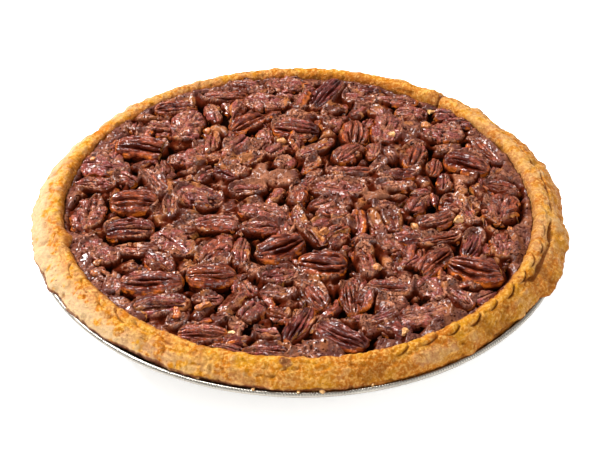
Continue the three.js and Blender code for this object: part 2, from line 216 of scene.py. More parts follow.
def finish(tree, shader, reliefs, **links):
    """Links patterns to a shader's sockets, and the reliefs: the normal's socket, the pattern that raises it,
    how high in millimetres, and how strongly."""
    for socket, value in links.items():
        tree.links.new(value, shader.inputs[socket.replace("_", " ")])
    for socket, source, height, strength in reliefs:
        inputs = [("Height", pattern(tree, source)), ("Distance", height * MM), ("Strength", strength)]
        tree.links.new(add(tree, "ShaderNodeBump", inputs).outputs[0], shader.inputs[socket])


def rolled_foil():
    """Rolled aluminium foil: a bright metal, softly blurred by the rolling, and finely creased. Its colour is
    darker and warmer than bare aluminium: a painted reflection of darker, warmer surroundings.
    """
    material, tree, shader = new_material("aluminium_foil", Metallic=1.0, Roughness=0.27)
    # painted reflection: the foil's colour is darkened and warmed to stand in for darker, warmer surroundings
    colour = layered(tree, "#807A72", [("#AAA49A", (14, 3.0))])
    blurred = pattern(tree, (5, 2.0), 0.3, 0.7, 0.36, 0.2)
    creases = ("Normal", (2.2, 4.0, 0.6), 0.25, 0.6)
    finish(tree, shader, [creases], Base_Color=colour, Roughness=blurred)
    return material


def input_sockets(tree, sockets):
    """Gives a Geometry Nodes tree its inputs, by name and type, and one mesh output."""
    for name, kind in sockets.items():
        tree.interface.new_socket(name, in_out="INPUT", socket_type=f"NodeSocket{kind}")
    tree.interface.new_socket("Geometry", in_out="OUTPUT", socket_type="NodeSocketGeometry")
    return add(tree, "NodeGroupInput").outputs


def pleating():
    """Presses pleats into the tin's wall and crimps into its rim, where the mesh's own masks say."""
    tree = bpy.data.node_groups.new("pleating", "GeometryNodeTree")
    sockets = {"Geometry": "Geometry", "Pleats": "Float", "Pleat Depth": "Float", "Crimps": "Float"}
    given = input_sockets(tree, sockets | {"Crimp Depth": "Float", "Foil": "Material"})
    position = add(tree, "GeometryNodeInputPosition").outputs[0]
    x, y, _ = add(tree, "ShaderNodeSeparateXYZ", [(0, position)]).outputs
    turn = add(tree, "ShaderNodeMath", [(0, y), (1, x)], operation="ARCTAN2").outputs[0]
    flat = add(tree, "ShaderNodeCombineXYZ", [(0, x), (1, y)]).outputs[0]
    outward = add(tree, "ShaderNodeVectorMath", [(0, flat)], operation="NORMALIZE").outputs[0]
    geometry = given["Geometry"]
    for count, depth, mask in (("Pleats", "Pleat Depth", "wall"), ("Crimps", "Crimp Depth", "rim")):
        where = add(tree, "GeometryNodeInputNamedAttribute", [("Name", mask)], data_type="FLOAT").outputs[0]
        fold = turn
        for operation, by in (
            ("MULTIPLY", given[count]),
            ("MULTIPLY", 0.5),
            ("SINE", 0.0),
            ("ABSOLUTE", 0.0),
            ("MULTIPLY", where),
            ("MULTIPLY", given[depth]),
            ("MULTIPLY", -1.0),
        ):
            fold = add(tree, "ShaderNodeMath", [(0, fold), (1, by)], operation=operation).outputs[0]
        inward = add(tree, "ShaderNodeVectorMath", [(0, outward), ("Scale", fold)], operation="SCALE")
        shift = [("Geometry", geometry), ("Offset", inward.outputs[0])]
        geometry = add(tree, "GeometryNodeSetPosition", shift).outputs[0]
    real = add(tree, "GeometryNodeRealizeInstances", [(0, geometry)]).outputs[0]
    finished = add(tree, "GeometryNodeSetMaterial", [("Geometry", real), ("Material", given["Foil"])])
    add(tree, "NodeGroupOutput", [(0, finished.outputs[0])])
    return tree


def put_through(piece, tree, values):
    """Runs a piece through a Geometry Nodes tree, and keeps what comes out as its plain mesh."""
    modifier = piece.modifiers.new(tree.name, "NODES")
    modifier.node_group = tree
    for socket in tree.interface.items_tree:
        if socket.in_out == "INPUT" and socket.name in values:
            modifier[socket.identifier] = values[socket.name]
    graph = bpy.context.evaluated_depsgraph_get()
    made = piece.evaluated_get(graph)
    mesh = bpy.data.meshes.new_from_object(made, preserve_all_data_layers=True, depsgraph=graph)
    piece.modifiers.clear()
    piece.data = mesh
    mesh.name = piece.name


def tin_profile():
    """The tin's section from the middle of its base, out under the rim's roll and back over the inside."""
    base = [pair for rib in RIBS for pair in zip(rib, (0, RIB_HEIGHT, RIB_HEIGHT, 0))] + [(84, 0)]
    knee = [(TIN_BASE_R - 2.2, 0.15), (TIN_BASE_R, 0.9), (TIN_BASE_R + 1.6, 2.4)]
    wall = [
        (TIN_BASE_R + 0.5 + (TIN_MOUTH_R - TIN_BASE_R - 0.5) * t, 0.6 + (TIN_MOUTH_Z - 0.6) * t)
        for t in np.linspace(0.14, 0.97, 6)
    ]
    flange = [(TIN_MOUTH_R + 0.7, TIN_MOUTH_Z + 0.1), (TIN_MOUTH_R + FLANGE, TIN_MOUTH_Z + 0.3)]
    middle_r, middle_z = TIN_RIM_R - ROLL_R, TIN_RIM_Z - ROLL_R
    turns = np.radians(np.linspace(-110, 200, 10))
    roll = [(middle_r + ROLL_R * math.cos(a), middle_z + ROLL_R * math.sin(a)) for a in turns]
    inside = [
        (TIN_MOUTH_R + FLANGE, TIN_MOUTH_Z + 1),
        (TIN_MOUTH_R - FOIL, TIN_MOUTH_Z + FOIL),
        ((TIN_MOUTH_R + TIN_BASE_R) / 2 - FOIL, TIN_MOUTH_Z / 2 + FOIL),
        (TIN_BASE_R - FOIL, FOIL),
    ]
    return np.array(base + knee + wall + flange + roll + inside)


section = tin_profile()
angle = np.arange(TIN_COLUMNS)[:, None] * 2 * np.pi / TIN_COLUMNS
tin_points = turned(section[None, :, 0], section[None, :, 1], angle)
radius = np.hypot(tin_points[:, 0], tin_points[:, 1])
on_wall = smooth_step(0, 6, tin_points[:, 2]) * smooth_step(TIN_RIM_R - 3.5, TIN_RIM_R - 8, radius)
on_rim = smooth_step(TIN_RIM_R - 2.2, TIN_RIM_R - 0.6, radius)
outward = tin_points[:, :2] / radius[:, None]
tin_points[:, :2] -= outward * (on_wall * (WALL_SET_IN + grains(tin_points, DENTS)))[:, None]
tin_points[:, 2] += RIM_SAG * on_rim * (grain(tin_points, 17, 3) - 1)
poles = [(0, 0, 0), (0, 0, FOIL)]
tin_faces = turned_faces(TIN_COLUMNS, len(section))
tin = mesh_piece("tin_shell", np.vstack([tin_points, poles]), tin_faces, wall=on_wall, rim=on_rim)
tin_sizes = {
    "Pleats": TIN_PLEATS,
    "Pleat Depth": PLEAT_DEPTH * MM,
    "Crimps": RIM_CRIMPS,
    "Crimp Depth": RIM_CRIMP_DEPTH * MM,
    "Foil": rolled_foil(),
}
put_through(tin, pleating(), tin_sizes)
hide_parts("foil_tin")
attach(tin, "root")

# ---- The pastry case ----
# Shortcrust rolled thin, laid into the tin and over its rim, with a bead raised round the mouth and crimped
# by a machine into overlapping petals. Baked dry and golden, flaky and pebbled, and browner by the filling,
# partly as painted shade on the bead's inner wall.

BRIM_R = 125
BRIM_Z = 31.2
BEAD_R = 113.8
BEAD_Z = 40.4
BEAD_INNER_R = 109.9
CREASE_R = 118
CREASE_Z = 37.8
CASE_THICKNESS = 4.2
GAP = 0.3
CRIMPS = 56
CRIMP_PITCH = 2 * math.pi * CREASE_R / CRIMPS
FILLING_Z = 36
BEAD_FOOT_Z = FILLING_Z + 0.6
CASE_COLUMNS = 1400

# The brim: where its two flaps end, and how it wanders. Angles are in degrees round the pie.
RIGHT_FLAP_END = -27
LEFT_FLAP_END = 208
FRONT_SET_IN, RIGHT_STANDS, BACK_SET_IN = -2.4, 1, -1.2
BRIM_MOST_R = 126.4
MOST_X = 125.3
BRIM_WANDERS = [  # angle, how far the brim stands further out there, and over how many degrees
    (-24, 1.5, 5),
    (-12, 1.3, 8),
    (2, 1.2, 6),
    (14, 1.4, 7),
    (157, -1.6, 5),
    (180, 0.6, 8),
    (214, 1.0, 9),
    (234, -1.0, 8),
    (249, 1.0, 0.6),
    (253, -0.6, 8),
    (276, 1.1, 0.6),
]
SEAM_AT, SEAM_STANDS, SEAM_REACH = 54, 3, 4  # where one end of the pastry laps over the other
SEAM_PEAK, SEAM_DIP, SEAM_CRACK = 2.0, 0.7, 1.3
NOTCH_AT, NOTCH_DEPTH, NOTCH_REACH, NOTCH_DIP = 148, 3.5, 5, 1.3
BACK_DIPS = [  # angle, how far the bead stands lower there, and over how many degrees
    (108, 1.0, 12),
    (122, 0.9, 12),
    (138, 1.5, 9),
    (157, 1.0, 6),
    (70, -0.3, 12),
]
LOBE_AT, LOBE_STANDS, LOBE_REACH = 194, 3.2, 2.6  # where the bead bulges into the filling
SMOOTH_CREASE_RISE = 0.8  # how much higher the crease lies along the smooth side

# The crimping. A stretch of the rim is its middle, how far it is whole to each side, and where it ends.
CRIMPED_LEFT = (214, 14, 34)
CRIMPED_RIGHT = (-36, 18, 44)
LEAST_CRIMPED = 0.14
PETAL_LIFT = 0.95
PETAL_FALL = 0.35
CRACK_DEPTH = 1.5
CRACK_WIDTH = 0.55
CRACK_REACH = 4.7

# Relief of the baked dough. A grain is its height and size in millimetres, and its seed.
PEBBLES = [(0.4, 4.6, 4), (0.42, 2.3, 5), (0.26, 1.3, 6)]
PIT_DEPTH, PIT_SIZE = 0.6, 2.6
LUMP_HEIGHT, LUMP_SIZE = 0.8, 8
FLAKE_HEIGHT = 0.3
EDGE_LUMPS = 0.35
KNOBBLY = (-56, 15, 38)
SMOOTH_AT = 20
SMOOTH_SIDE = (SMOOTH_AT, 30, 60)
FOLDED_AT = 10
FOLDED_SKIRT = (FOLDED_AT, 25, 75)
FOLDED_BEAD = (FOLDED_AT, 25, 60)
CREASED = (-3, 20, 34)
CREASE_DEPTH = 0.9

# The bake, and the painted light and shade laid over it.
# paler towards here, on the left, where the key lamp falls: flour and painted highlight
FLOUR_AND_LIGHT_AT = 185
FEWER_CRACKS = (FLOUR_AND_LIGHT_AT + 15, 15, 45)
# browner towards here, on the side away from the key lamp: painted shade
SHADED_SIDE_AT = -30
BACK_BROWNED = (125, 8, 28)
DARK_LIP = (238, 25, 60)  # where the brim's lower lip is darkened
STAIN_AT, STAIN_SIZE = (-5, -115), 5.5  # a drip of the filling


def apart(degrees, middle):
    """How far an angle is from the middle of a stretch, the short way round."""
    return np.abs((degrees - middle + 540) % 360 - 180)


def within(degrees, middle, whole, end):
    """1 in the middle of a stretch of the rim, and 0 beyond its ends."""
    return smooth_step(end, whole, apart(degrees, middle))


def waver(degrees, phase):
    """A slow irregular wave round the rim, about 1 high."""
    a = np.radians(degrees)
    waves = ((0.5, 5, 1), (0.3, 13, 2.1), (0.2, 29, 3.7))
    return sum(share * np.sin(count * a + shift * phase) for share, count, shift in waves)


def brim_radius(degrees):
    """The brim stands out at the sides, where it folds over the rim, and stays inside it along the front."""
    angle = (degrees + 90) % 360 - 90
    front = (angle < RIGHT_FLAP_END) | (angle > LEFT_FLAP_END)
    stretches = [front, angle < SEAM_AT - 3, angle < NOTCH_AT]
    r = BRIM_R + 0.4 * waver(degrees, 1)
    r += np.select(stretches, [FRONT_SET_IN, RIGHT_STANDS, BACK_SET_IN], 0)
    r += SEAM_STANDS * np.clip(1 - apart(degrees, SEAM_AT) / SEAM_REACH, 0, 1)
    r -= NOTCH_DEPTH * np.clip(1 - apart(degrees, NOTCH_AT) / NOTCH_REACH, 0, 1)
    r = np.minimum(r, BRIM_MOST_R)
    for middle, stands, reach in BRIM_WANDERS:
        r += stands * hump(apart(degrees, middle), reach)
    limit = MOST_X / np.maximum(np.abs(np.cos(np.radians(degrees))), 0.5)
    return -np.logaddexp(-2 * r, -2 * limit) / 2


def rounded(values, reach):
    """A ring of values with its steps softened over `reach` neighbours to each side."""
    return sum(np.roll(values, k) for k in range(-reach, reach + 1)) / (2 * reach + 1)


def inside_tin(z, inset):
    """Radius of the tin's inside at a height, less an inset."""
    return TIN_BASE_R - 0.9 - FOIL + (TIN_MOUTH_R - TIN_BASE_R) / TIN_MOUTH_Z * z - inset


def case_section(degrees):
    """Radius and height of the case's rows at each angle: under the brim, up the skirt, over the bead."""
    edge = rounded(brim_radius(degrees), 3)[:, None]
    crag = rounded(waver(degrees, 4), 3)[:, None]
    bottom = FOIL + GAP
    floor = bottom + CASE_THICKNESS
    hidden = [
        (inside_tin(0, GAP), bottom),
        (inside_tin(13, GAP), 13.6),
        (inside_tin(TIN_MOUTH_Z - 1, GAP), TIN_MOUTH_Z + FOIL),
        (118.5, 28.6),
    ]
    sag = smooth_step(123.6, 122.9, edge)  # where the brim is short, it hangs down inside the tin's rim
    under = [(edge - 2.6 + 1.9 * t, 29.4 + 0.5 * t - (0.7 + 0.2 * t) * sag) for t in (0, 0.5, 1)]
    lip = [(edge - 0.2, 30.15), (edge + 0.02, 30.75)]
    peak = SEAM_PEAK * hump(degrees - SEAM_AT, 1.5) - SEAM_DIP * hump(degrees - SEAM_AT + 3, 1.6)
    dip = NOTCH_DIP * hump(apart(degrees, NOTCH_AT), 3)
    for middle, fall, reach in BACK_DIPS:
        dip = dip + fall * hump(apart(degrees, middle), reach)
    bead_z = (BEAD_Z + peak - dip)[:, None]
    crease_z = (CREASE_Z - dip + SMOOTH_CREASE_RISE * within(degrees, SMOOTH_AT, 25, 50))[:, None]
    t = np.linspace(0, 1, 24)[None, :]
    skirt_r = edge + (CREASE_R - edge) * t
    rise = (crease_z - BRIM_Z) * (1 - (1 - t) ** 1.6)
    skirt_z = BRIM_Z + 0.4 * crag * (1 - t) + rise + 1.2 * crag * t * (1 - t)
    t = np.linspace(0, 1, 17)[None, 1:]
    outer_r = CREASE_R + (BEAD_R - CREASE_R) * t + 0.3 * crag * t
    outer_z = bead_z + 0.3 * crag * t - (bead_z - crease_z) * (1 - t) ** 2.2
    t = np.linspace(0, 1, 14)[None, 1:]
    lobe = LOBE_STANDS * hump(apart(degrees, LOBE_AT), LOBE_REACH)[:, None]
    inner_r = BEAD_R + 0.3 * crag * (1 - t) + (BEAD_INNER_R - lobe - BEAD_R) * np.sin(t * np.pi / 2)
    inner_z = bead_z + 0.3 * crag * (1 - t) - (bead_z - BEAD_FOOT_Z) * (1 - np.cos(t * np.pi / 2))
    wall = [(BEAD_INNER_R - 0.6, BEAD_FOOT_Z - 2), (inside_tin(floor, CASE_THICKNESS + GAP), floor)]
    columns = hidden + under + lip + [(skirt_r, skirt_z), (outer_r, outer_z), (inner_r, inner_z)] + wall
    return [np.hstack([values + 0 * edge for values in side]) for side in zip(*columns)]


def crimped(degrees, r, z):
    """How far the crimping pushes each point of the bead out or in, and how deep in a crack it lies, which
    darkens it as painted shade. Each petal starts at the crack on its line, overlaps the one before it and
    thins out to its other end."""
    bold = np.maximum(0.8 * within(degrees, *CRIMPED_LEFT), within(degrees, *CRIMPED_RIGHT))
    bold = LEAST_CRIMPED + (1 - LEAST_CRIMPED) * bold
    number = degrees * CRIMPS / 360 + 0.12 * waver(degrees, 2.3)
    petal = np.floor(number)
    on_right = np.cos(2 * np.pi * (petal + 0.5) / CRIMPS) > 0
    share = np.where(on_right, 1 - number % 1, number % 1)
    odd = np.sin(petal * 2.4) * 0.5
    quick = 0.25 + 0.04 * odd
    reach = CRACK_REACH * (1 + 0.3 * odd)
    line = BEAD_R - 1.4 + reach * (1 - np.exp(-share / quick)) - 1.2 * smooth_step(0.35, 1, share)
    lean = reach / quick / CRIMP_PITCH * np.exp(-share / quick)
    to_line = (r - line) / np.hypot(1, lean)
    in_crack = hump(to_line, CRACK_WIDTH * (1.2 - 0.5 * share))
    fade = smooth_step(0, 0.08, share) * smooth_step(1.0, 0.4, share) * bold * (1 + 0.6 * odd)
    on_top = smooth_step(CREASE_Z - 4, CREASE_Z - 1, z)
    body = smooth_step(0.5, -1.2, to_line) * smooth_step(0, 0.12, share) * (1 - 0.55 * share)
    fall = smooth_step(-0.5, 2.4, to_line) * (1 - share) ** 1.5 * smooth_step(0, 0.3, share)
    push = on_top * bold * (PETAL_LIFT * (body - 0.4) - PETAL_FALL * fall)
    return push - CRACK_DEPTH * fade * in_crack * on_top, np.clip(fade * in_crack * on_top, 0, 1)


degrees = np.arange(CASE_COLUMNS) * 360 / CASE_COLUMNS
case_r, case_z = case_section(degrees)
slope_r, slope_z = np.gradient(case_r, axis=1), np.gradient(case_z, axis=1)
length = np.hypot(slope_r, slope_z)
normal_r, normal_z = slope_z / length, -slope_r / length
all_degrees = np.repeat(degrees[:, None], case_r.shape[1], axis=1)
turns = np.radians(all_degrees)
flat_points = turned(case_r, case_z, turns)


def on_case(*layers):
    """Grains over the case as it is before its relief."""
    return grains(flat_points, layers).reshape(case_r.shape)


def drawn_out(seed, *places):
    """Grain drawn out one way, from three places in which a lump is 1 across."""
    return grain(np.stack(places, axis=-1), 1, seed)


# What is added to the case: none of it where the tin or the filling hides it.
push, crack = crimped(all_degrees, case_r, case_z)
skirt = smooth_step(CREASE_R - 2, CREASE_R + 1.5, case_r)
plain = within(all_degrees, *SMOOTH_SIDE) * smooth_step(CREASE_R + 2, BEAD_R + 1, case_r)
pebbles = (1 - 0.5 * plain) * on_case(*PEBBLES)
pits = -PIT_DEPTH * smooth_step(0.4, 0.8, on_case((1, PIT_SIZE, 7)))
knobbly = 1 + 0.8 * within(all_degrees, *KNOBBLY)
lumps = LUMP_HEIGHT * knobbly * on_case((1, LUMP_SIZE, 8)) * (0.3 + 0.7 * skirt)
spokes = drawn_out(37, turns * 22, case_r * 0.12, case_z * 0.1)
folded = 0.35 + 0.65 * within(all_degrees, *FOLDED_SKIRT)
folds = folded * skirt * (on_case((0.7, 4.2, 38)) + 0.5 * spokes)
creased = within(all_degrees, *CREASED) * smooth_step(-0.6, 0.1, on_case((1, 9, 45)))
on_crease = hump(case_r - CREASE_R - 0.2 - on_case((1.1, 7, 39)), 0.5)
valley = CREASE_DEPTH * creased * on_crease * (case_z > 33)
joint = SEAM_CRACK * hump(all_degrees - SEAM_AT + 2.2 - 0.12 * (case_r - BEAD_R), 0.32) * (case_z > 34)
flakes = FLAKE_HEIGHT * skirt * drawn_out(9, turns * 18, case_z * 0.9, case_r * 0.5)
shown = smooth_step(29, 30.4, case_z) * smooth_step(BEAD_INNER_R - 4, BEAD_INNER_R - 3, case_r)
relief = shown * (pebbles + pits + lumps + folds - valley - joint + flakes)
by_edge = smooth_step(BRIM_Z + 2.5, BRIM_Z - 0.5, case_z) * (case_z > 29)
moved = push + relief + by_edge * on_case((EDGE_LUMPS, 6.5, 10))
case_r = case_r + normal_r * moved
case_z = case_z + normal_z * moved
case_points = turned(case_r, case_z, turns)
poles = [(0, 0, FOIL + GAP), (0, 0, FOIL + GAP + CASE_THICKNESS)]

# How it baked, and where painted light and shade fall: masks for its colours.
outer = smooth_step(BEAD_R, BRIM_R - 2, case_r)
# the filling's edge and the brim's lower lip: browner, partly from the bake and partly as painted shade on
# the bead's inner wall and under the brim
inner_edge = smooth_step(BEAD_R - 0.8, BEAD_INNER_R + 0.3, case_r + 0.5 * on_case((1, 7, 11)))
at_edge = case_z > 28
hem = smooth_step(BRIM_Z + 0.6, BRIM_Z - 0.7, case_z) * at_edge
speckled = on_case((0.5, 3.6, 34), (0.45, 1.7, 35))
# flour, and painted highlight: paler on the side facing the key lamp and on raised lumps
floury_and_lit = 0.16 + 0.86 * np.cos(turns - math.radians(FLOUR_AND_LIGHT_AT)) + 0.55 * np.clip(np.sin(turns), 0, 1)
floury_and_lit = np.clip(floury_and_lit, 0.1, 1)
floury_and_lit += 0.6 * within(all_degrees, *FOLDED_BEAD) * smooth_step(CREASE_R + 6, BEAD_R, case_r)
bloom = floury_and_lit * smooth_step(-0.2, 0.25, speckled + 0.12 * floury_and_lit + 0.33 * floury_and_lit * outer)
bloom *= 0.4 + 0.6 * outer
bloom += 0.35 * smooth_step(0.2, 1.2, relief) + 0.16 * plain
# painted shade: browner on the side away from the key lamp; also a browner stretch at the back
browned = np.clip(np.cos(turns - math.radians(SHADED_SIDE_AT)), 0, 1) * (0.35 + 0.65 * outer)
browned = np.maximum(browned, 0.6 * within(all_degrees, *BACK_BROWNED))
syrupy = hump(apart(all_degrees, NOTCH_AT), 3.5) * smooth_step(BEAD_INNER_R - 1, BEAD_R, case_r)
away = np.hypot(case_r * np.cos(turns) - STAIN_AT[0], case_r * np.sin(turns) - STAIN_AT[1])
stain = smooth_step(STAIN_SIZE * 0.6, STAIN_SIZE * 0.3, away + on_case((0.8, 2, 36)))
# the brim's lower lip, darkened towards the front left
dark_lip = smooth_step(BRIM_Z + 0.6, BRIM_Z - 0.1, case_z + on_case((0.9, 9, 48))) * at_edge
dark_lip *= within(all_degrees, *DARK_LIP)
crack = crack * (1 - 0.5 * within(all_degrees, *FEWER_CRACKS))
# painted shade: the relief's low spots, like the seam's joint and the crease's valley, are darkened with the
# cracks
shaded_low_spots = np.clip(-relief * 1.1, 0, 1)
case = mesh_piece(
    "pastry_case",
    np.vstack([case_points, poles]),
    turned_faces(*case_r.shape),
    # partly toasting, partly painted shade on the bead's inner wall and under the brim
    toast=np.clip(0.75 * inner_edge * (1 - 0.4 * plain) + 0.6 * hem, 0, 1),
    # flour and painted highlight
    bloom=bloom,
    # a drip of the filling, and the brim's darkened lower lip
    stain=np.maximum(stain, dark_lip),
    # painted shade on the side away from the key lamp, and a browner stretch at the back
    browned=browned,
    syrupy=syrupy,
    # painted shade in cracks, creases, the seam and low spots
    crack=np.clip(crack + 0.5 * shaded_low_spots + 0.5 * joint + 0.8 * valley, 0, 1),
)


def baked_pastry():
    """Baked shortcrust: dry butter-gold crumb, mottled orange where the fat darkened it and pale where flour
    clung, with a trace of egg shine. Painted light and shade lie in its colours too: paler on the side and
    the lumps that face the key lamp, browner on the side away from it and on the bead's inner wall, dark in
    cracks and dips."""
    material, tree, shader = new_material("baked_shortcrust", Roughness=0.5, Specular_IOR_Level=0.06)
    grainy = pattern(tree, (1.3, 4.0, 0.65))
    # the grain's pits, darkened below as painted shade
    shaded_pocks = pattern(tree, grainy, 0.3, 0.44, 0.0, 0.7)
    colours = [
        ("#B47A12", (13, 2.0), 0.36, 0.64),
        ("#A85804", (4.5, 4.0), 0.46, 0.64, 0.45),
        ("#DCA656", (1.6, 4.0), 0.46, 0.64, 0.6),
        # painted shade on the side away from the key lamp, and a browner stretch at the back
        ("#8A5220", "browned", 0, 1, 0.36),
        # flour, and painted highlight on the side and lumps facing the key lamp
        ("#B69B76", "bloom", 0.05, 1, 0.88),
        # partly toasting, partly painted shade on the bead's inner wall and under the brim
        ("#8A4410", "toast"),
        # a drip of the filling, and the brim's darkened lower lip
        ("#5C2C22", "stain", 0, 1, 0.8),
        ("#B4640A", "syrupy", 0.1, 1, 0.85),
        ("#DEB26A", grainy, 0.54, 0.66, 0.4),
        # painted shade: dark brown in cracks, creases, the seam, low spots and the grain's pits
        ("#642C04", ("MAXIMUM", "crack", shaded_pocks), 0.15, 0.9, 0.85),
    ]
    finish(tree, shader, [("Normal", grainy, 1.1, 1.0)], Base_Color=layered(tree, "#A25A08", colours))
    return material


case.data.materials.append(baked_pastry())
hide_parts("pastry_crust")
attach(case, "root")

# ---- The pecans ----
# Pecan halves stirred into the custard before baking, and floated up by it. Each is a ridged kernel, domed on
# the shell side and cleft on the other, roasted dark and glazed by the syrup, some under a film of custard.

NUT_SEED = 20  # of the nuts' places and sizes
SHAPE_SEED = 1000  # of the first nut's own shape
BROKEN_BITS, BIT_LONGEST, BIT_OVERLAP = 60, 18, 3
CHIPS, CHIP_LONGEST, CHIP_OVERLAP = 90, 11, 3.4
BITS_WITHIN_R = 103
BIT_SHORTEST = 11 / 18  # of the longest
BIT_WIDTH = 0.64
MOST_TRIES = 6000
NUT_ROLL = 8
NUT_PITCH = 4
NUT_TAPER = 0.15
TIP_HEIGHT = 0.48
HEIGHT_TO_WIDTH = {"domed": 0.54, "cleft": 0.44, "sliver": 0.6, "bit": 0.55}
SINK = {"proud": 0.26, "level": 0.42, "sunken": 0.52}
DROWNED = 2.8  # how much lower a bit lies under a smooth stretch of custard
FILLING_LUMP = 0.7

# The nuts by kind and by how high they lie: x, y, heading in degrees, length and width. The halves come
# uppermost first.
HALVES = [
    ("domed", "proud", [
        (-76, 46, -8, 27, 16), (13, 93, 62, 29, 13), (81, 35, -25, 24, 15), (-77, 1, -2, 23, 17),
        (-65, -60, 3, 29, 17), (-39, -55, 8, 23, 17), (-8, -34, 30, 25, 18), (11, -46, -3, 23, 19),
        (81, -47, -12, 28, 17), (19, -95, -38, 27, 15),
    ]),
    ("domed", "level", [
        (-78, -19, 5, 24, 17), (90, 47, -62, 28, 11), (27, 61, 88, 22, 15), (-2, 65, -8, 24, 17),
        (-60, -75, 8, 27, 15), (1, -86, 68, 27, 12), (62, -41, 50, 23, 14), (65, -24, 22, 22, 11),
        (80, -28, 75, 23, 11), (41, -61, -5, 22, 14), (31, -42, -78, 23, 11), (8, -67, -62, 18, 12),
        (23, -67, -85, 24, 9), (-68, 18, -58, 26, 10), (-62, 80, 10, 22, 12), (-38, 90, 3, 26, 12),
        (-26, 69, 40, 20, 13), (56, 42, 75, 22, 13), (24, 44, 50, 20, 13), (64, -9, 25, 20, 11),
        (-63, -44, -45, 18, 12), (-41, -93, 0, 22, 12),
    ]),
    ("domed", "sunken", [
        (-75, -35, 5, 24, 10), (-97, 16, -8, 21, 12), (97, 17, -25, 19, 12), (72, -66, -50, 18, 10),
    ]),
    ("cleft", "level", [
        (-47, 6, -18, 25, 17), (-55, 64, 70, 27, 17), (-17, 86, -5, 24, 14), (-8, 101, 0, 20, 13),
        (43, 64, 82, 27, 16), (70, 61, -10, 23, 17), (-16, -5, -22, 26, 15),
    ]),
    ("cleft", "sunken", [
        (18, 14, -10, 30, 15), (8, 47, 42, 24, 10),
    ]),
    ("cleft", "level", [
        (95, -1, 80, 25, 18), (94, -29, 78, 22, 12), (-57, -30, -48, 25, 15), (-38, -34, 57, 25, 13),
        (-9, -53, 10, 19, 12), (-93, 31, -12, 25, 16), (-98, -8, 85, 27, 16), (-90, -37, -50, 23, 14),
        (-54, 37, -5, 20, 13), (59, -61, -60, 19, 13), (56, -79, 15, 25, 14),
    ]),
]
BROKEN = [
    ("sliver", "level", [
        (-16, 57, 100, 15, 8),
    ]),
    ("sliver", "proud", [
        (69, 19, 88, 16, 7), (65, 33, 78, 15, 7),
    ]),
    ("sliver", "level", [
        (24, 28, 0, 23, 11),
    ]),
    ("sliver", "proud", [
        (-60, -3, 95, 17, 7), (1, -13, -72, 19, 7),
    ]),
    ("sliver", "level", [
        (36, -14, -75, 24, 7), (-26, -36, 88, 24, 9), (-9, -66, -5, 18, 8), (-13, -104, -3, 22, 8),
        (36, -82, 28, 21, 8), (-40, -70, 5, 15, 7), (-22, -62, -60, 13, 8), (50, -42, 50, 16, 7),
        (-43, 75, -68, 16, 8), (80, 72, -8, 18, 8), (30, 90, -12, 18, 11), (33, 99, 0, 17, 9),
        (48, 90, -5, 24, 9), (56, 78, -8, 18, 11), (72, 79, -5, 13, 9), (-28, 102, -15, 15, 8),
        (-18, -17, 0, 19, 11), (-38, -14, 0, 23, 14), (50, -24, -10, 15, 12), (48, 27, 12, 22, 9),
        (46, 17, 5, 21, 9), (56, 4, 55, 19, 11), (73, 3, -40, 14, 11), (80, -8, -65, 14, 8),
    ]),
    ("sliver", "proud", [
        (-36, 24, -20, 15, 9),
    ]),
    ("sliver", "level", [
        (-24, 12, 5, 19, 11), (-11, 46, 52, 16, 11), (-30, 50, 60, 18, 12), (-43, 50, 90, 16, 9),
        (-82, 20, -30, 13, 11), (-21, -78, 60, 14, 12), (-13, -93, -5, 14, 9), (-30, -103, -10, 15, 8),
    ]),
    ("sliver", "proud", [
        (36, 45, 90, 13, 8),
    ]),
    ("sliver", "level", [
        (45, -73, 25, 10, 8), (84, -65, 35, 13, 8),
    ]),
    ("bit", "level", [
        (-80, 64, 90, 10, 8), (-70, 64, 0, 11, 9), (-50, -13, 20, 10, 6), (-34, -83, 40, 10, 8),
        (-26, -88, 80, 9, 8),
    ]),
]

# Stretches of smooth bare custard: x, y, length and width.
SMOOTH = [(-15, 22, 26, 20), (42, 8, 30, 12), (77, 25, 14, 12)]


def seeded(seed):
    """Seeded random numbers from 0 to 1, in the same order as when the solids were laid out."""
    word = 0xFFFFFFFF
    state = seed
    while True:
        state = (state + 0x6D2B79F5) & word
        t = ((state ^ state >> 15) * (1 | state)) & word
        t = ((t + (((t ^ t >> 7) * (61 | t)) & word)) & word) ^ t
        yield ((t ^ t >> 14) & word) / 4294967296


def custard_level(x, y):
    """The set filling's height, which sways slowly from place to place."""
    slow = np.sin(x / 17 + 1.3) * np.cos(y / 21 + 0.4)
    quick = np.sin(x / 7.3 + y / 9.1) * np.cos(y / 6.1 - x / 11.7)
    return FILLING_Z + FILLING_LUMP * (0.5 * slow + 0.5 * quick)


def nut_from(row, draws):
    """One nut from its row: its sizes, and the turn and place that carry it from its own frame to the pie."""
    kind, x, y, heading, length, width, lie = row
    height = width * HEIGHT_TO_WIDTH[kind]
    most_drawn = (math.radians(NUT_ROLL), math.radians(NUT_PITCH), NUT_TAPER)
    roll, pitch, taper = [most * (2 * next(draws) - 1) for most in most_drawn]
    h = math.radians(heading)
    c, s = math.cos(h), math.sin(h)
    turn_z = np.array([[c, -s, 0], [s, c, 0], [0, 0, 1]])
    c, s = math.cos(pitch), math.sin(pitch)
    turn_y = np.array([[c, 0, s], [0, 1, 0], [-s, 0, c]])
    c, s = math.cos(roll), math.sin(roll)
    turn_x = np.array([[1, 0, 0], [0, c, -s], [0, s, c]])
    place = np.array([x, y, custard_level(x, y) - SINK[lie] * height])
    return dict(kind=kind, x=x, y=y, heading=h, length=length, width=width, height=height,
                taper=taper, lie=lie, turn=turn_z @ turn_y @ turn_x, place=place)


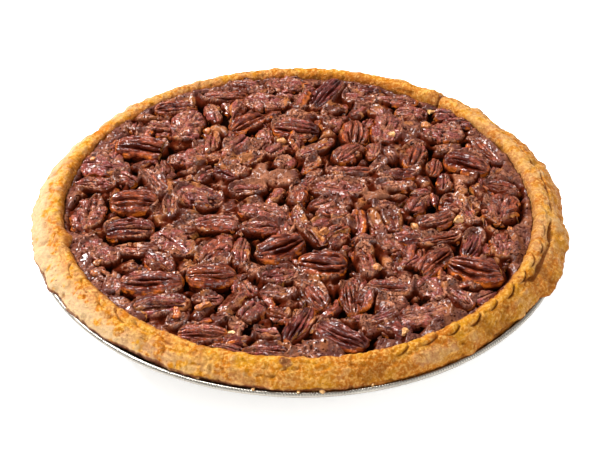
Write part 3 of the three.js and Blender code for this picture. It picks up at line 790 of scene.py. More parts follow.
def spine(nut):
    """Five places along the middle of a nut."""
    reach = max(0, nut["length"] - nut["width"]) / 2
    along = np.array([-1, -0.5, 0, 0.5, 1]) * reach
    x = nut["x"] + along * math.cos(nut["heading"])
    return np.stack([x, nut["y"] + along * math.sin(nut["heading"])], axis=1)


def scatter_bits(others, draws, most, longest, overlap):
    """Small bits of nut, wherever there is still room among the larger pieces."""
    bits = []
    spines = [spine(nut) for nut in others]
    widths = [nut["width"] for nut in others]
    for _ in range(MOST_TRIES):
        if len(bits) == most:
            break
        r = BITS_WITHIN_R * math.sqrt(next(draws))
        a = 2 * math.pi * next(draws)
        length = longest * (BIT_SHORTEST + (1 - BIT_SHORTEST) * next(draws))
        heading = 360 * next(draws)
        row = ("bit", r * math.cos(a), r * math.sin(a), heading, length, BIT_WIDTH * length, "level")
        bit = nut_from(row, draws)
        own = spine(bit)
        reach = np.linalg.norm(np.array(spines)[:, :, None] - own[None, None], axis=-1).min(axis=(1, 2))
        if (reach - (np.array(widths) + bit["width"]) / 2 > -overlap).all():
            bits.append(bit)
            spines.append(own)
            widths.append(bit["width"])
    return bits


def along_and_across(x, y, middle_x, middle_y, heading):
    """How far places lie from a middle along its heading, which is in radians, and across it."""
    c, s = math.cos(heading), math.sin(heading)
    return (x - middle_x) * c + (y - middle_y) * s, (y - middle_y) * c - (x - middle_x) * s


def oval(x, y, middle_x, middle_y, length, width, heading=0):
    """0 in the middle of an oval and 1 on its edge. Its heading is in degrees."""
    along, across = along_and_across(x, y, middle_x, middle_y, math.radians(heading))
    return np.hypot(along * 2 / length, across * 2 / width)


def on_smooth(nut):
    """Whether a nut's middle lies on one of the smooth stretches of custard."""
    return any(oval(nut["x"], nut["y"], *stretch) < 1.15 for stretch in SMOOTH)


# Relief of the nuts. A grain is its height and size in millimetres, and its seed.
GROOVE_SHARE = {"domed": 0.18, "cleft": 0.17, "sliver": 0.18}  # how deep, to the width
BOXINESS = {"domed": (2.5, 2.2), "cleft": (4.2, 2.4), "sliver": (2.4, 2.2)}
STATIONS = {"domed": 72, "cleft": 72, "sliver": 50}
AROUND = {"domed": 70, "cleft": 70, "sliver": 46}
UNDERSIDE = 0.22  # share of the points round a section that lie underneath
LIP = {"domed": 0, "cleft": 0.6, "sliver": 0.2}  # the raised edge of a half that lies cleft side up
KNOBS = {"domed": 0.15, "cleft": 0.26, "sliver": 0.28}  # unevenness of the outline
KNOB_GRAINS = [(1, 4.2, 12), (0.5, 1.9, 44)]
WRINKLES = {"domed": 0.4, "cleft": 0.4, "sliver": 0.44}
WRINKLE_GRAINS = [(0.6, 1.5, 13), (0.5, 0.8, 14)]
ROUGH = {"domed": 0.55, "cleft": 0.7, "sliver": 0.8}  # lumps of the skin, in millimetres
ROUGH_GRAINS = [(0.6, 6, 15), (0.55, 2.6, 16), (0.4, 1.4, 19)]
BREAK_GRAINS = [(0.5, 3.5, 41), (0.4, 1.5, 42)]
CREASE_HEIGHT, PORE_DEPTH = 0.16, 0.8
FILM = {"domed": -0.15, "cleft": 0.45, "sliver": 0.3}  # how much custard clings to each kind
FILM_BY_LIE = {"proud": -0.15, "level": 0.15, "sunken": 0.5}
BREAKS = {"proud": (0, 1), "level": (0, 1, 1, 2), "sunken": (1, 2)}  # how many broken edges, one of these
FRAGMENT_KINDS = ["sliver", "cleft", "domed", "sliver"]
FRAGMENT_SWELL = [1.25, 1.2, 1.1]  # a fragment's whole kernel, before its edges are broken off
FRAGMENT_SINK = 0.7
FRAGMENT_FINENESS = {"domed": 0.56, "cleft": 0.56, "sliver": 0.78}
CHIP_FINENESS = 0.7
RISE, RISE_AT = 1.3, math.radians(110)  # the filling stands higher against the bead at the back


def back_rise(x, y):
    """How much higher the filling and its nuts stand at a place."""
    return RISE * smooth_step(62, 100, x * math.cos(RISE_AT) + y * math.sin(RISE_AT))


def ditch(across, width):
    """A rounded groove's depth, 1 on its line and 0 away from it."""
    return np.exp(-np.abs(across / width) ** 1.7)


def domed_relief(u, v, chance):
    """Two deep grooves either side of a middle ridge, and a shallower one on each shoulder."""
    at = chance.uniform(0.22, 0.32)
    shoulder = at + chance.uniform(0.32, 0.4)
    slant = chance.uniform(-0.08, 0.08)
    bend = chance.uniform(-0.08, 0.08) * np.cos(2.2 * u) + slant * u
    ends = 1 - np.abs(u) ** 6
    depth = np.zeros_like(u)
    grooves = ((1, at, 1, 0.11), (-1, at, 1, 0.11), (1, shoulder, 0.9, 0.09), (-1, shoulder, 0.9, 0.09))
    for side, place, deep, wide in grooves:
        deep = deep * chance.uniform(0.65, 1.15)
        line = side * place + 0.04 * np.sin(3 * u + chance.uniform(0, 6)) + bend
        uneven = 0.85 + 0.3 * np.sin(chance.uniform(2, 4) * u + chance.uniform(0, 6))
        depth = np.maximum(depth, deep * uneven * ditch(v - line, wide * chance.uniform(0.8, 1.25)) * ends)
    return depth


def cleft_relief(u, v, chance):
    """A furrow down the middle, filled here and there, and ragged creases that run out from it."""
    middle = 0.1 * np.sin(3 * u + chance.uniform(0, 6)) + chance.uniform(-0.12, 0.12)
    shift = chance.uniform(0, 40)
    slow = grain(np.stack([u * 2.2 + shift, v * 0.4, 0 * u], axis=-1), 1, 30)
    depth = (0.65 + 0.7 * slow) * ditch(v - middle, 0.13) * (1 - np.abs(u) ** 6)
    place = np.stack([u * 3.4 - 0.7 * np.abs(v) + 0.5 * slow, 1.1 * v, shift + 0 * u], axis=-1)
    ragged = 1 - np.abs(grain(place, 0.9, 31)) * 3.2
    here = smooth_step(0.1, 0.45, np.abs(v - middle))
    return np.maximum(depth, 0.75 * np.clip(ragged, 0, 1) ** 1.5 * here)


def sliver_relief(u, v, chance):
    """One or two grooves down a long broken piece."""
    line = chance.uniform(-0.2, 0.2) + 0.1 * np.sin(3 * u + chance.uniform(0, 6))
    second = line + chance.choice([-1, 1]) * chance.uniform(0.45, 0.6)
    return np.maximum(ditch(v - line, 0.16), 0.5 * ditch(v - second, 0.1)) * (1 - np.abs(u) ** 6)


RELIEF = {"domed": domed_relief, "cleft": cleft_relief, "sliver": sliver_relief}


def tube_faces(around, stations):
    """Faces of a form made of `stations` rings of `around` points, closed by a tip point at each end."""
    grid = np.arange(stations * around).reshape(stations, around)
    beyond = np.roll(grid, -1, axis=1)
    quads = np.stack([grid[:-1], grid[1:], beyond[1:], beyond[:-1]], axis=-1).reshape(-1, 4).tolist()
    start = stations * around
    for k in range(around):
        quads.append([start, int(grid[0, k]), int(beyond[0, k])])
        quads.append([start + 1, int(beyond[-1, k]), int(grid[-1, k])])
    return quads


def with_tips(values, at_tips=0):
    """A mask of a kernel's skin, with its value at the two tips added."""
    return np.append(values.ravel(), [at_tips, at_tips])


def kernel(kind, size, taper, base, chance, fineness=1.0):
    """A whole kernel, its length along X and its underside near Z = 0: points, faces, masks, and how far each
    point lies along and across the skin. u runs from tip to tip and v from side to side, each -1 to 1."""
    length, width, height = size
    stations, around = round(STATIONS[kind] * fineness), round(AROUND[kind] * fineness)
    under = round(UNDERSIDE * around)
    over = around - under
    u = -np.cos(np.linspace(0, np.pi, stations + 2)[1:-1])[:, None]
    swell = np.sqrt(1 - np.abs(u) ** 3)
    top = height * (TIP_HEIGHT + (1 - TIP_HEIGHT) * swell**1.1)
    edge = height * (0.1 * swell + TIP_HEIGHT * (1 - swell))
    floor = height * TIP_HEIGHT * (1 - swell)
    p, q = BOXINESS[kind]
    v_over = np.cos(np.linspace(0, np.pi, over))[None, :]
    v_under = np.linspace(-1, 1, under + 2)[None, 1:-1]
    arch = np.clip(1 - np.abs(v_over) ** p, 0, 1) ** (1 / q)
    z = np.hstack([edge + (top - edge) * arch, floor + (edge - floor) * v_under**4])
    v = np.hstack([v_over + 0 * u, v_under + 0 * u])
    half = width / 2 * swell * (1 + taper * u)
    shift = chance.uniform(0, 50)
    outline = np.stack([u * length / 2 + 0 * v, np.sign(v) * 9 + 0 * u, shift + 0 * v], axis=-1)
    knobs = grains(outline, KNOB_GRAINS)
    half = half * (1 + KNOBS[kind] * knobs * np.minimum(1, np.abs(v) * 2))
    x = u * length / 2 + 0 * v
    y = v * half + length * chance.uniform(-0.06, 0.06) * (u**2 - 0.4)
    is_over = np.hstack([np.ones(over), np.zeros(under)])[None, :] * np.ones_like(u)
    # the kernel's lower sides, which get painted shade below
    low = smooth_step(0.48, 0.18, z / height)
    depth = RELIEF[kind](u + 0 * v, v, chance) * is_over
    local = np.stack([x, y, z], axis=-1) + shift * 7
    wrinkle = grains(local * np.array([0.22, 1, 1]), WRINKLE_GRAINS)
    rough = grains(local, ROUGH_GRAINS)
    creases = grain(local * np.array([1, 0.3, 0.3]), 1.2, 43)
    lip = LIP[kind] * hump(np.abs(v) - 0.84, 0.1) * is_over
    fine = WRINKLES[kind] * wrinkle + ROUGH[kind] * rough + CREASE_HEIGHT * creases + lip
    pores = smooth_step(0.42, 0.72, grain(local, 2.0, 33)) * np.clip(0.5 + base, 0, 1)
    inward = (depth * GROOVE_SHARE[kind] * width + PORE_DEPTH * pores - fine) * np.sqrt(swell)
    middle = edge + 0.15 * (top - edge)
    away = np.hypot(y, z - middle) + 1e-6
    keep = np.clip(1 - inward / away, 0.3, 1.3)
    points = np.stack([x, y * keep, middle + (z - middle) * keep], axis=-1).reshape(-1, 3)
    tips = np.array([[-1, 0, 0], [1, 0, 0]]) * length / 2 + [0, 0, TIP_HEIGHT * height]
    # partly thick glaze and partly a painted glow of light through it, on the sides and ends of the kernel
    side_rim_glow = 0.9 * smooth_step(0.8, 0.95, np.abs(v)) * (1 - 0.6 * low)
    # painted shade: darker in the grooves, the wrinkles' hollows, the pores and on the lower sides
    groove = depth**1.3 + 0.9 * np.clip(-wrinkle - 0.05, 0, 1) + 0.5 * pores + 0.85 * low
    shoulder = hump(depth - 0.3, 0.16)
    # painted sheen: lighter over the ridge tops, laid on with the custard
    crest = smooth_step(0.5, 0.85, z / height) * np.clip(1.6 * shoulder + 0.6 * wrinkle, 0, 1.2) * is_over
    masks = {
        "groove": with_tips(np.clip(groove, 0, 1)),
        # the rim: thick glaze with a painted glow of light through it
        "rim": with_tips(np.maximum(side_rim_glow, 0.8 * smooth_step(0.8, 0.95, np.abs(u))), 1),
        "crest": with_tips(crest),
        "hollow": with_tips(np.clip(depth, 0, 1)),
        "flesh": np.zeros(len(points) + 2),
    }
    lengthwise = np.stack([x * 0.16, v * width / 2], axis=-1).reshape(-1, 2) + shift
    lengthwise = np.vstack([lengthwise, [[0, 0], [0, 0]]])
    return np.vstack([points, tips]), tube_faces(around, stations), masks, lengthwise


def break_off(points, masks, size, stand, chance):
    """Breaks a kernel along one rough plane, which leaves its pale flesh bare."""
    turn, tilt = chance.uniform(0, 2 * np.pi), chance.uniform(-0.2, 0.6)
    normal = np.array([math.cos(turn) * math.cos(tilt), math.sin(turn) * math.cos(tilt), math.sin(tilt)])
    middle = np.array([0, 0, size[2] / 2])
    reach = np.linalg.norm(normal * size / 2)
    beyond = (points - middle) @ normal - stand * reach - grains(points + turn * 90, BREAK_GRAINS)
    masks["flesh"] = np.maximum(masks["flesh"], smooth_step(0, 0.5, beyond))
    return points - np.clip(beyond, 0, None)[:, None] * normal


def nut_mesh(nut, number):
    """Points, faces, masks and lengthwise map of one nut or broken piece, placed in the pie."""
    chance = np.random.default_rng(SHAPE_SEED + number)
    kind = nut["kind"]
    size = np.array([nut["length"], nut["width"], nut["height"]])
    fragment = kind == "bit"
    if fragment:
        kind = chance.choice(FRAGMENT_KINDS)
        size = size * FRAGMENT_SWELL
        base = chance.uniform(0.2, 0.8)
        stands = chance.uniform(0.45, 0.8, chance.integers(2, 5))
    else:
        base = FILM[kind] + FILM_BY_LIE[nut["lie"]] + chance.uniform(-0.2, 0.2)
        stands = chance.uniform(0.72, 0.9, chance.choice(BREAKS[nut["lie"]]))
    fineness = FRAGMENT_FINENESS[kind] if fragment else 1
    if nut["length"] < CHIP_LONGEST:
        fineness *= CHIP_FINENESS
    points, faces, masks, lengthwise = kernel(kind, size, nut["taper"], base, chance, fineness)
    for stand in stands:
        points = break_off(points, masks, size, stand, chance)
    if fragment:
        tumble = chance.uniform(-0.9, 0.9)
        c, s = math.cos(tumble), math.sin(tumble)
        y, z = points[:, 1], points[:, 2] - size[2] / 2
        points = np.stack([points[:, 0], y * c - z * s, y * s + z * c + size[2] / 2 - FRAGMENT_SINK], axis=-1)
    placed = points @ nut["turn"].T + nut["place"]
    far = np.hypot(placed[:, 0], placed[:, 1])
    placed[:, :2] *= np.minimum(1, (BEAD_INNER_R - 0.5) / far)[:, None]
    # painted shade, eased on broken flesh and where custard fills the grooves
    groove = masks["groove"] * (1 - 0.6 * masks["flesh"])
    masks["tone"] = np.full(len(placed), chance.random())
    filled = chance.random() * masks.pop("hollow") * smooth_step(-0.4, 0.4, grain(placed, 4, 46))
    # custard clinging to the nut, with a painted sheen over the ridge tops added to it
    film = base + 0.5 * masks.pop("crest") + 0.9 * grain(placed, 9, 17) + 0.5 * grain(placed, 3, 18)
    masks["film"] = np.clip(film + 1.1 * filled - 0.6 * masks["rim"], 0, 1)
    masks["groove"] = np.clip(groove * (1 - 0.25 * masks["film"]) - 0.45 * filled, 0, 1)
    placed[:, 2] += back_rise(placed[:, 0], placed[:, 1])
    return placed, faces, masks, lengthwise


def give_map(piece, name, coordinates):
    """Lays a UV map in metres over a piece, from one pair of numbers for each of its points."""
    layer = piece.data.uv_layers.new(name=name)
    corner = np.empty(len(piece.data.loops), np.int32)
    piece.data.loops.foreach_get("vertex_index", corner)
    layer.data.foreach_set("uv", (np.asarray(coordinates)[corner] * MM).astype(np.float32).ravel())


def nut_piece(name, nuts, first):
    """One object from nuts that are numbered from the first number on."""
    points, faces, lengthwise = [], [], []
    masks = {"groove": [], "film": [], "rim": [], "flesh": [], "tone": []}
    count = 0
    for number, nut in enumerate(nuts, first):
        placed, own_faces, own_masks, own_lengthwise = nut_mesh(nut, number)
        points.append(placed)
        faces += [[i + count for i in face] for face in own_faces]
        lengthwise.append(own_lengthwise)
        for key, values in own_masks.items():
            masks[key].append(values)
        count += len(placed)
    piece = mesh_piece(name, np.vstack(points), faces, **{k: np.concatenate(v) for k, v in masks.items()})
    give_map(piece, "lengthwise", np.vstack(lengthwise))
    return piece


def glazed_pecan():
    """Roasted pecan skin under baked syrup: red-brown, and nearly black in its grooves, pits and lower sides,
    which is painted shade. Orange where the glaze is thick at the rim, with a painted glow of light through
    it; tan where the flesh is broken; and greyed by a thin pitted skin of custard, which is laid lighter over
    the ridge tops as a painted sheen. The glaze is smooth and glints, less in the grooves."""
    material, tree, shader = new_material(
        "glazed_pecan", Roughness=0.5, Specular_IOR_Level=0.01, Coat_Roughness=0.09, Coat_IOR=1.45
    )
    along = add(tree, "ShaderNodeUVMap", uv_map="lengthwise").outputs[0]
    inputs = [("Vector", along), ("Scale", 1 / (1.1 * MM)), ("Detail", 3.0), ("Roughness", 0.6)]
    fibres = add(tree, "ShaderNodeTexNoise", inputs).outputs["Fac"]
    streaks = pattern(tree, fibres, 0.35, 0.68)
    blotches = pattern(tree, (5, 2.0), 0.36, 0.64)
    grainy = pattern(tree, (1.3, 3.0, 0.65))
    thick = pattern(tree, (5.5, 3.0), 0.41, 0.58)
    # custard clinging to the nut, and the painted sheen over the ridge tops
    film = pattern(tree, "film", 0.15, 0.9, 0.85)
    pitted = pattern(tree, ("MULTIPLY", pattern(tree, (1.3, 2.0), 0.6, 0.72, 0.5), film))
    # painted shade: near black in the grooves and in the custard's pits
    deep = pattern(tree, ("MAXIMUM", pitted, "groove"))
    dark_skin = layered(tree, "#621E0C", [("#400F0A", "tone")])
    pale_skin = layered(tree, "#AA5228", [("#7C302A", "tone")])
    flesh = layered(tree, "#8A4620", [("#C08040", grainy, 0.35, 0.65)])
    veil = layered(tree, "#B06C4A", [("#984C46", blotches)])
    colours = [
        (pale_skin, blotches),
        ("#3C0C02", streaks, 0.2, 1, 0.6),
        # orange rim: thick glaze with a painted glow of light through it
        ("#CC681C", ("MULTIPLY", "rim", thick)),
        (flesh, "flesh", 0.2, 1, 0.8),
        # custard over the skin, lighter on the ridge tops as a painted sheen
        (layered(tree, "#5E2818", [(veil, grainy, 0.36, 0.55)]), film),
        # painted shade in the grooves and pits
        ("#340800", deep, 0.12, 0.7, 0.96),
    ]
    dull = ("MAXIMUM", deep, pattern(tree, streaks, 0.3, 1, 0.5))
    height = ("SUBTRACT", ("ADD", streaks, (1.0, 3.0)), pitted)
    finish(
        tree,
        shader,
        [("Normal", height, 0.9, 1.0), ("Coat Normal", (2.2, 1.0), 0.7, 1.0)],
        Base_Color=layered(tree, dark_skin, colours),
        Roughness=pattern(tree, "film", 0.2, 1, 0.55, 0.4),
        Coat_Weight=pattern(tree, dull, 0.1, 0.7, 0.04, 1.0),
    )
    return material


draws = seeded(NUT_SEED)
halves = [nut_from((kind, *row, lie), draws) for kind, lie, rows in HALVES for row in rows]
broken = [nut_from((kind, *row, lie), draws) for kind, lie, rows in BROKEN for row in rows]
bits = scatter_bits(halves + broken, draws, BROKEN_BITS, BIT_LONGEST, BIT_OVERLAP)
chips = scatter_bits(halves + broken + bits, draws, CHIPS, CHIP_LONGEST, CHIP_OVERLAP)
chips = [chip for chip in chips if not on_smooth(chip)]
for bit in bits:
    if on_smooth(bit):
        bit["place"][2] -= DROWNED
pecan_skin = glazed_pecan()
for number, nut in enumerate(halves, 1):
    half = nut_piece(f"pecan_half_{number:02d}", [nut], number)
    half.data.materials.append(pecan_skin)
    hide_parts(f"pecan_{number:02d}")
    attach(half, "root")
slivers = [nut for nut in broken if nut["kind"] == "sliver"]
coarse_bits = [nut for nut in broken if nut["kind"] == "bit"] + bits
groups = [("broken_slivers", slivers, 200), ("broken_bits", coarse_bits, 300), ("nut_chips", chips, 400)]
for name, group, first in groups:
    pieces = nut_piece(name, group, first)
    pieces.data.materials.append(pecan_skin)
    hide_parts("custard_filling")
    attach(pieces, "root")

# ---- The custard ----
# Eggs, sugar and corn syrup baked to a set custard that rose round the nuts and sank as it cooled. Its skin
# is glossy, tan and lumpy, pitted by bubbles, and pulled away from the nuts; these crevices, holes and pits
# are painted near black as shade.

CUSTARD_GRID = 310
CAVITY_MOUTH_R = BEAD_INNER_R - 0.4
CAVITY_FLOOR_Z = FOIL + GAP + CASE_THICKNESS + GAP
ROSE = 3.0  # how far the custard stands over the bare filling, between the nuts
SMOOTH_ROSE = 0.2  # and how much further along its smooth stretches
LUMPY = [(1.1, 8, 20), (0.9, 3.8, 21), (0.5, 2, 22)]  # height and size in millimetres, and seed
BUBBLE_DEPTH, BUBBLE_SIZE = 0.8, 2.1
CREVICE_REACH = 2.4
CREVICE_DEPTH = 5.2
HOLE_DEPTH = 4.5
CLIMB = 2.0  # where the custard clings to a nut instead of leaving a gap
UNDER_NUT_DEPTH = 1.2
LOOKED_FOR = 9  # how far from a nut the custard still heeds it

# Holes and gaps in the skin: x, y, length, width, heading in degrees.
HOLES = [
    (-13, 28, 6, 6, 0), (-8, -58, 5, 5, 0), (-86, -51, 8, 5, 90), (-50, -59, 6, 4, 90),
    (-28, -60, 5, 4, 20), (-24, -52, 4, 3, 90), (82, 50, 11, 7, 100), (64, 47, 6, 5, 0),
    (88, 24, 11, 5, 60), (1, 12, 17, 5, -70), (63, 3, 16, 4, 90), (-43, 26, 8, 4, 90),
    (-79, 20, 18, 5, 90), (-67, 33, 5, 5, 0), (-17, -16, 9, 4, 0), (-4, -10, 14, 4, 90),
    (51, -31, 7, 6, 0), (63, -47, 5, 4, 0), (36, 39, 8, 3, 0), (44, 33, 4, 4, 0), (-14, 51, 4, 3, 0),
    (8, 61, 5, 4, 0), (-20, 77, 6, 3, 0), (-4, 86, 4, 3, 90), (-22, -92, 8, 6, 90), (5, -97, 5, 4, 0),
]


def disc_grid(count, radius):
    """An even grid of count by count points spread over a disc, from a square bent round it."""
    a, b = np.meshgrid(np.linspace(-1, 1, count), np.linspace(-1, 1, count), indexing="ij")
    wide = np.abs(a) >= np.abs(b)
    safe_a = np.where(a == 0, 1, a)
    safe_b = np.where(b == 0, 1, b)
    turn = np.where(wide, np.pi / 4 * b / safe_a, np.pi / 2 - np.pi / 4 * a / safe_b)
    r = np.where(wide, a, b) * radius
    return (r * np.cos(turn)).ravel(), (r * np.sin(turn)).ravel()


def outline_distances(x, y, nuts, reach):
    """Distance to the nearest and the second nearest nut's outline, below 0 inside one, and at most reach."""
    nearest = np.full(x.shape, float(reach))
    second = np.full(x.shape, float(reach))
    for nut in nuts:
        near = np.flatnonzero(np.hypot(x - nut["x"], y - nut["y"]) < nut["length"] / 2 + reach)
        along, across = along_and_across(x[near], y[near], nut["x"], nut["y"], nut["heading"])
        u, v = along * 2 / nut["length"], across * 2 / nut["width"]
        steep = np.hypot(3 * u**2 * 2 / nut["length"], 2 * v * 2 / nut["width"]) + 0.02
        distance = (np.abs(u) ** 3 + v**2 - 1) / steep
        closer = distance < nearest[near]
        second[near] = np.where(closer, nearest[near], np.minimum(second[near], distance))
        nearest[near] = np.where(closer, distance, nearest[near])
    return nearest, second


x, y = disc_grid(CUSTARD_GRID, CAVITY_MOUTH_R)
r = np.hypot(x, y)
flat = np.stack([x, y, 0 * x], axis=-1)
near_rim = smooth_step(100, CAVITY_MOUTH_R, r)
calm = np.max([smooth_step(1.15, 0.7, oval(x, y, *stretch)) for stretch in SMOOTH], axis=0)
level = (custard_level(x, y) + ROSE + SMOOTH_ROSE * calm) * (1 - near_rim)
level = level + BEAD_FOOT_Z * near_rim + back_rise(x, y)
seen_bits = [bit for bit in bits if not on_smooth(bit)]
nearest, second = outline_distances(x, y, halves + broken + seen_bits, LOOKED_FOR)
lumpy = grains(flat, LUMPY)
pits = smooth_step(0.42, 0.75, grain(flat, BUBBLE_SIZE, 23))
patchy = smooth_step(-0.35, 0.35, grain(flat, 9, 24))  # 1 where it pulled away from the nuts
gap = smooth_step(CREVICE_REACH, 0.3, nearest) * patchy
pinched = smooth_step(7, 2.5, nearest + second) * smooth_step(-0.5, 0.6, nearest)
crevice = np.clip(0.75 * gap + 0.6 * pinched, 0, 1) * smooth_step(CAVITY_MOUTH_R, CAVITY_MOUTH_R - 3, r)
ragged = 1 + grains(flat, [(0.3, 3, 25)])
hole = np.max([smooth_step(1.1, 0.55, oval(x, y, *place) * ragged) for place in HOLES], axis=0)
under_nut = smooth_step(0, -1.5, nearest)
z = level + lumpy * (1 - 0.35 * calm)
z = z - BUBBLE_DEPTH * pits * (1 - under_nut) - CREVICE_DEPTH * crevice * (1 - under_nut) - HOLE_DEPTH * hole
z = z + CLIMB * hump(nearest, 2.0) * (1 - patchy) - UNDER_NUT_DEPTH * under_nut
# painted shade: how dark the custard is painted in crevices, holes, bubble pits and hollows between lumps
shade_depth = 1.1 * crevice * (1 - 0.5 * under_nut) + 1.1 * hole + 0.45 * pits + 0.25 * (-lumpy - 0.3)
shade_depth = np.clip(shade_depth, 0, 1)
open_skin = smooth_step(0.2, 1, nearest) * smooth_step(0.5, 0.2, shade_depth) * (1 - 0.7 * calm)
open_skin *= smooth_step(CAVITY_MOUTH_R - 0.5, CAVITY_MOUTH_R - 2, r)

# The top's faces, and a wall and a floor of fans below its brink.
index = np.arange(CUSTARD_GRID**2).reshape(CUSTARD_GRID, CUSTARD_GRID)
quads = np.stack([index[:-1, :-1], index[1:, :-1], index[1:, 1:], index[:-1, 1:]], axis=-1)
quads = quads.reshape(-1, 4).tolist()
brink = np.concatenate([index[:-1, 0], index[-1, :-1], index[:0:-1, -1], index[0, :0:-1]])
foot_share = inside_tin(CAVITY_FLOOR_Z, CASE_THICKNESS + 2 * GAP) / CAVITY_MOUTH_R
foot = np.stack([x[brink] * foot_share, y[brink] * foot_share, np.full(len(brink), CAVITY_FLOOR_Z)], axis=-1)
first = len(flat)
around = len(brink)
for k in range(around):
    after = (k + 1) % around
    quads.append([int(brink[k]), first + k, first + after, int(brink[after])])
    quads.append([first + around, first + after, first + k])
custard = mesh_piece(
    "set_custard",
    np.vstack([np.stack([x, y, z], axis=-1), foot, [[0, 0, CAVITY_FLOOR_Z]]]),
    quads,
    # painted shade in crevices, holes and pits
    deep=shade_depth,
    honey=smooth_step(0.25, 0.7, grain(flat, 6, 26)) * (1 - calm),
    calm=calm,
    edge=smooth_step(98, 106, r),
    open=open_skin,
)


def baked_custard():
    """Baked pecan custard: opaque tan-brown with a shiny sugary skin full of burst bubbles, honey-coloured
    where the syrup lies thick. Painted shade darkens it to near black in crevices, holes and burst bubbles,
    where its glaze is dulled too."""
    material, tree, shader = new_material(
        "baked_custard", Roughness=0.6, Specular_IOR_Level=0.01, Coat_Roughness=0.12, Coat_IOR=1.45
    )
    grainy = pattern(tree, (1.5, 3.0, 0.65))
    fewer = pattern(tree, "calm", 0, 1, 0.6, 1.0)
    burst = pattern(tree, ("MULTIPLY", pattern(tree, (1.7, 2.0), 0.6, 0.72, 0.7), fewer))
    # painted shade in crevices, holes and burst bubbles
    deep = pattern(tree, ("MAXIMUM", burst, "deep"))
    colours = [
        ("#A4684A", (9, 2.0), 0.36, 0.64),
        ("#4E2010", grainy, 0.42, 0.6),
        ("#B0682A", "honey", 0.1, 1, 0.42),
        ("#8A5438", "calm", 0, 1, 0.62),
        ("#5A3028", "edge", 0, 1, 0.5),
        # painted shade, down to near black
        ("#461404", deep, 0.06, 0.5),
        ("#120300", deep, 0.45, 0.9),
    ]
    finish(
        tree,
        shader,
        [("Normal", ("SUBTRACT", grainy, burst), 0.9, 1.0), ("Coat Normal", (2.6, 1.0), 0.7, 1.0)],
        Base_Color=layered(tree, "#582C22", colours),
        Coat_Weight=pattern(tree, deep, 0.05, 0.5, 0.0, 0.65),
    )
    return material


custard.data.materials.append(baked_custard())
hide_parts("custard_filling")
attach(custard, "root")

# ---- Crumbs and lumps of syrup ----
# Small things that stuck to the filling while it baked: boiled-over syrup set to amber lumps, flakes of
# pastry, and fine crumbs of nut and custard strewn between the pecans.

# x, y, length, width, heading in degrees, and how pale: 0 is dark amber syrup and 1 is a flake of pastry.
LUMPS = [
    (-99, 34, 3.5, 3, 0, 0.3), (-45, 61, 5.5, 4.5, 20, 0.1), (-8.5, 51, 5, 4, 0, 0.5),
    (26, -7, 4.5, 4, 30, 0.0), (54, -15, 5.5, 4.5, 10, 0.5), (75, -9, 7.5, 5, 80, 0.9),
    (98, -16, 5, 3.5, 90, 0.2), (-53, -82, 8, 4.5, 95, 0.0), (-41, -78, 9, 4.5, 25, 0.2),
    (-90, -46, 5.5, 3.5, 60, 0.3), (-92, -53, 5, 3.5, 0, 0.1), (45, 57, 5, 4, 0, 0.8),
    (62, 64, 5.5, 4.5, 0, 0.3), (66, 82, 5.5, 3, 10, 1.0), (36, -49, 4.5, 3.5, 0, 0.4),
    (-28, -92, 6.5, 4, -10, 0.9), (47, -92, 7, 4, 75, 0.9), (-84, 71, 5, 4, 0, 0.4),
    (-24, 30, 4, 3, 60, 0.6), (12, -22, 5, 4, 40, 0.3), (-18.5, -121.3, 2.2, 1.8, 30, 1.0),
    (1, -122.7, 2.4, 1.6, 80, 1.0), (11, -122.2, 2.8, 2, 10, 1.0), (-42.6, -114.6, 2, 1.6, 0, 1.0),
    (32.7, -118, 1.8, 1.5, 60, 1.0),
]
LUMP_SEED = 700
LUMP_SINK = 0.3
LUMP_FINENESS = 0.5
LUMP_BREAKS = 4
CRUMBS_TO_SQUARE_METRE = 60000.0
CRUMB_LEAST, CRUMB_MOST = 0.6, 2.0
CRUMB_SHAPES = 4
CRUMB_SEED = 5


def resting_height(x, y, pieces):
    """Height in millimetres of the topmost of the pieces at a place. The ray that looks for it comes down a
    hair beside the place, so that it doesn't slip between two faces."""
    tops = [custard_level(x, y)] if math.hypot(x, y) < BEAD_INNER_R else [BRIM_Z - 1]
    for piece in pieces:
        hit, place, _, _ = piece.ray_cast((x * MM + 1e-5, y * MM + 2e-5, 0.1), (0, 0, -1))
        if hit:
            tops.append(place.z / MM)
    return max(tops)


def lump_mesh(row, number, pieces):
    """Points, faces and paleness of one lump, which lies on the pieces: a small kernel broken all round."""
    x, y, length, width, heading, pale = row
    chance = np.random.default_rng(LUMP_SEED + number)
    height = 0.6 * width
    size = np.array([length, width, height])
    points, faces, masks, _ = kernel("sliver", size, 0, 0.3, chance, LUMP_FINENESS)
    for stand in chance.uniform(0.5, 0.8, LUMP_BREAKS):
        points = break_off(points, masks, size, stand, chance)
    c, s = math.cos(math.radians(heading)), math.sin(math.radians(heading))
    points = points @ np.array([[c, s, 0], [-s, c, 0], [0, 0, 1]])
    points += [x, y, resting_height(x, y, pieces) - LUMP_SINK * height]
    return points, faces, np.full(len(points), pale)


def set_syrup():
    """Syrup boiled to a clear amber toffee, or a pale flake of pastry wetted by it."""
    material, tree, shader = new_material(
        "set_syrup", Roughness=0.4, Specular_IOR_Level=0.3, Coat_Weight=0.8, Coat_Roughness=0.1, Coat_IOR=1.48
    )
    cloudy = pattern(tree, (2.0, 2.0), 0.35, 0.65)
    crust = layered(tree, "#B07840", [("#D8A868", cloudy)])
    colour = layered(tree, "#7A2E06", [("#C8681A", cloudy), (crust, "pale")])
    finish(tree, shader, [("Normal", (1.0, 3.0), 0.4, 0.8)], Base_Color=colour)
    return material


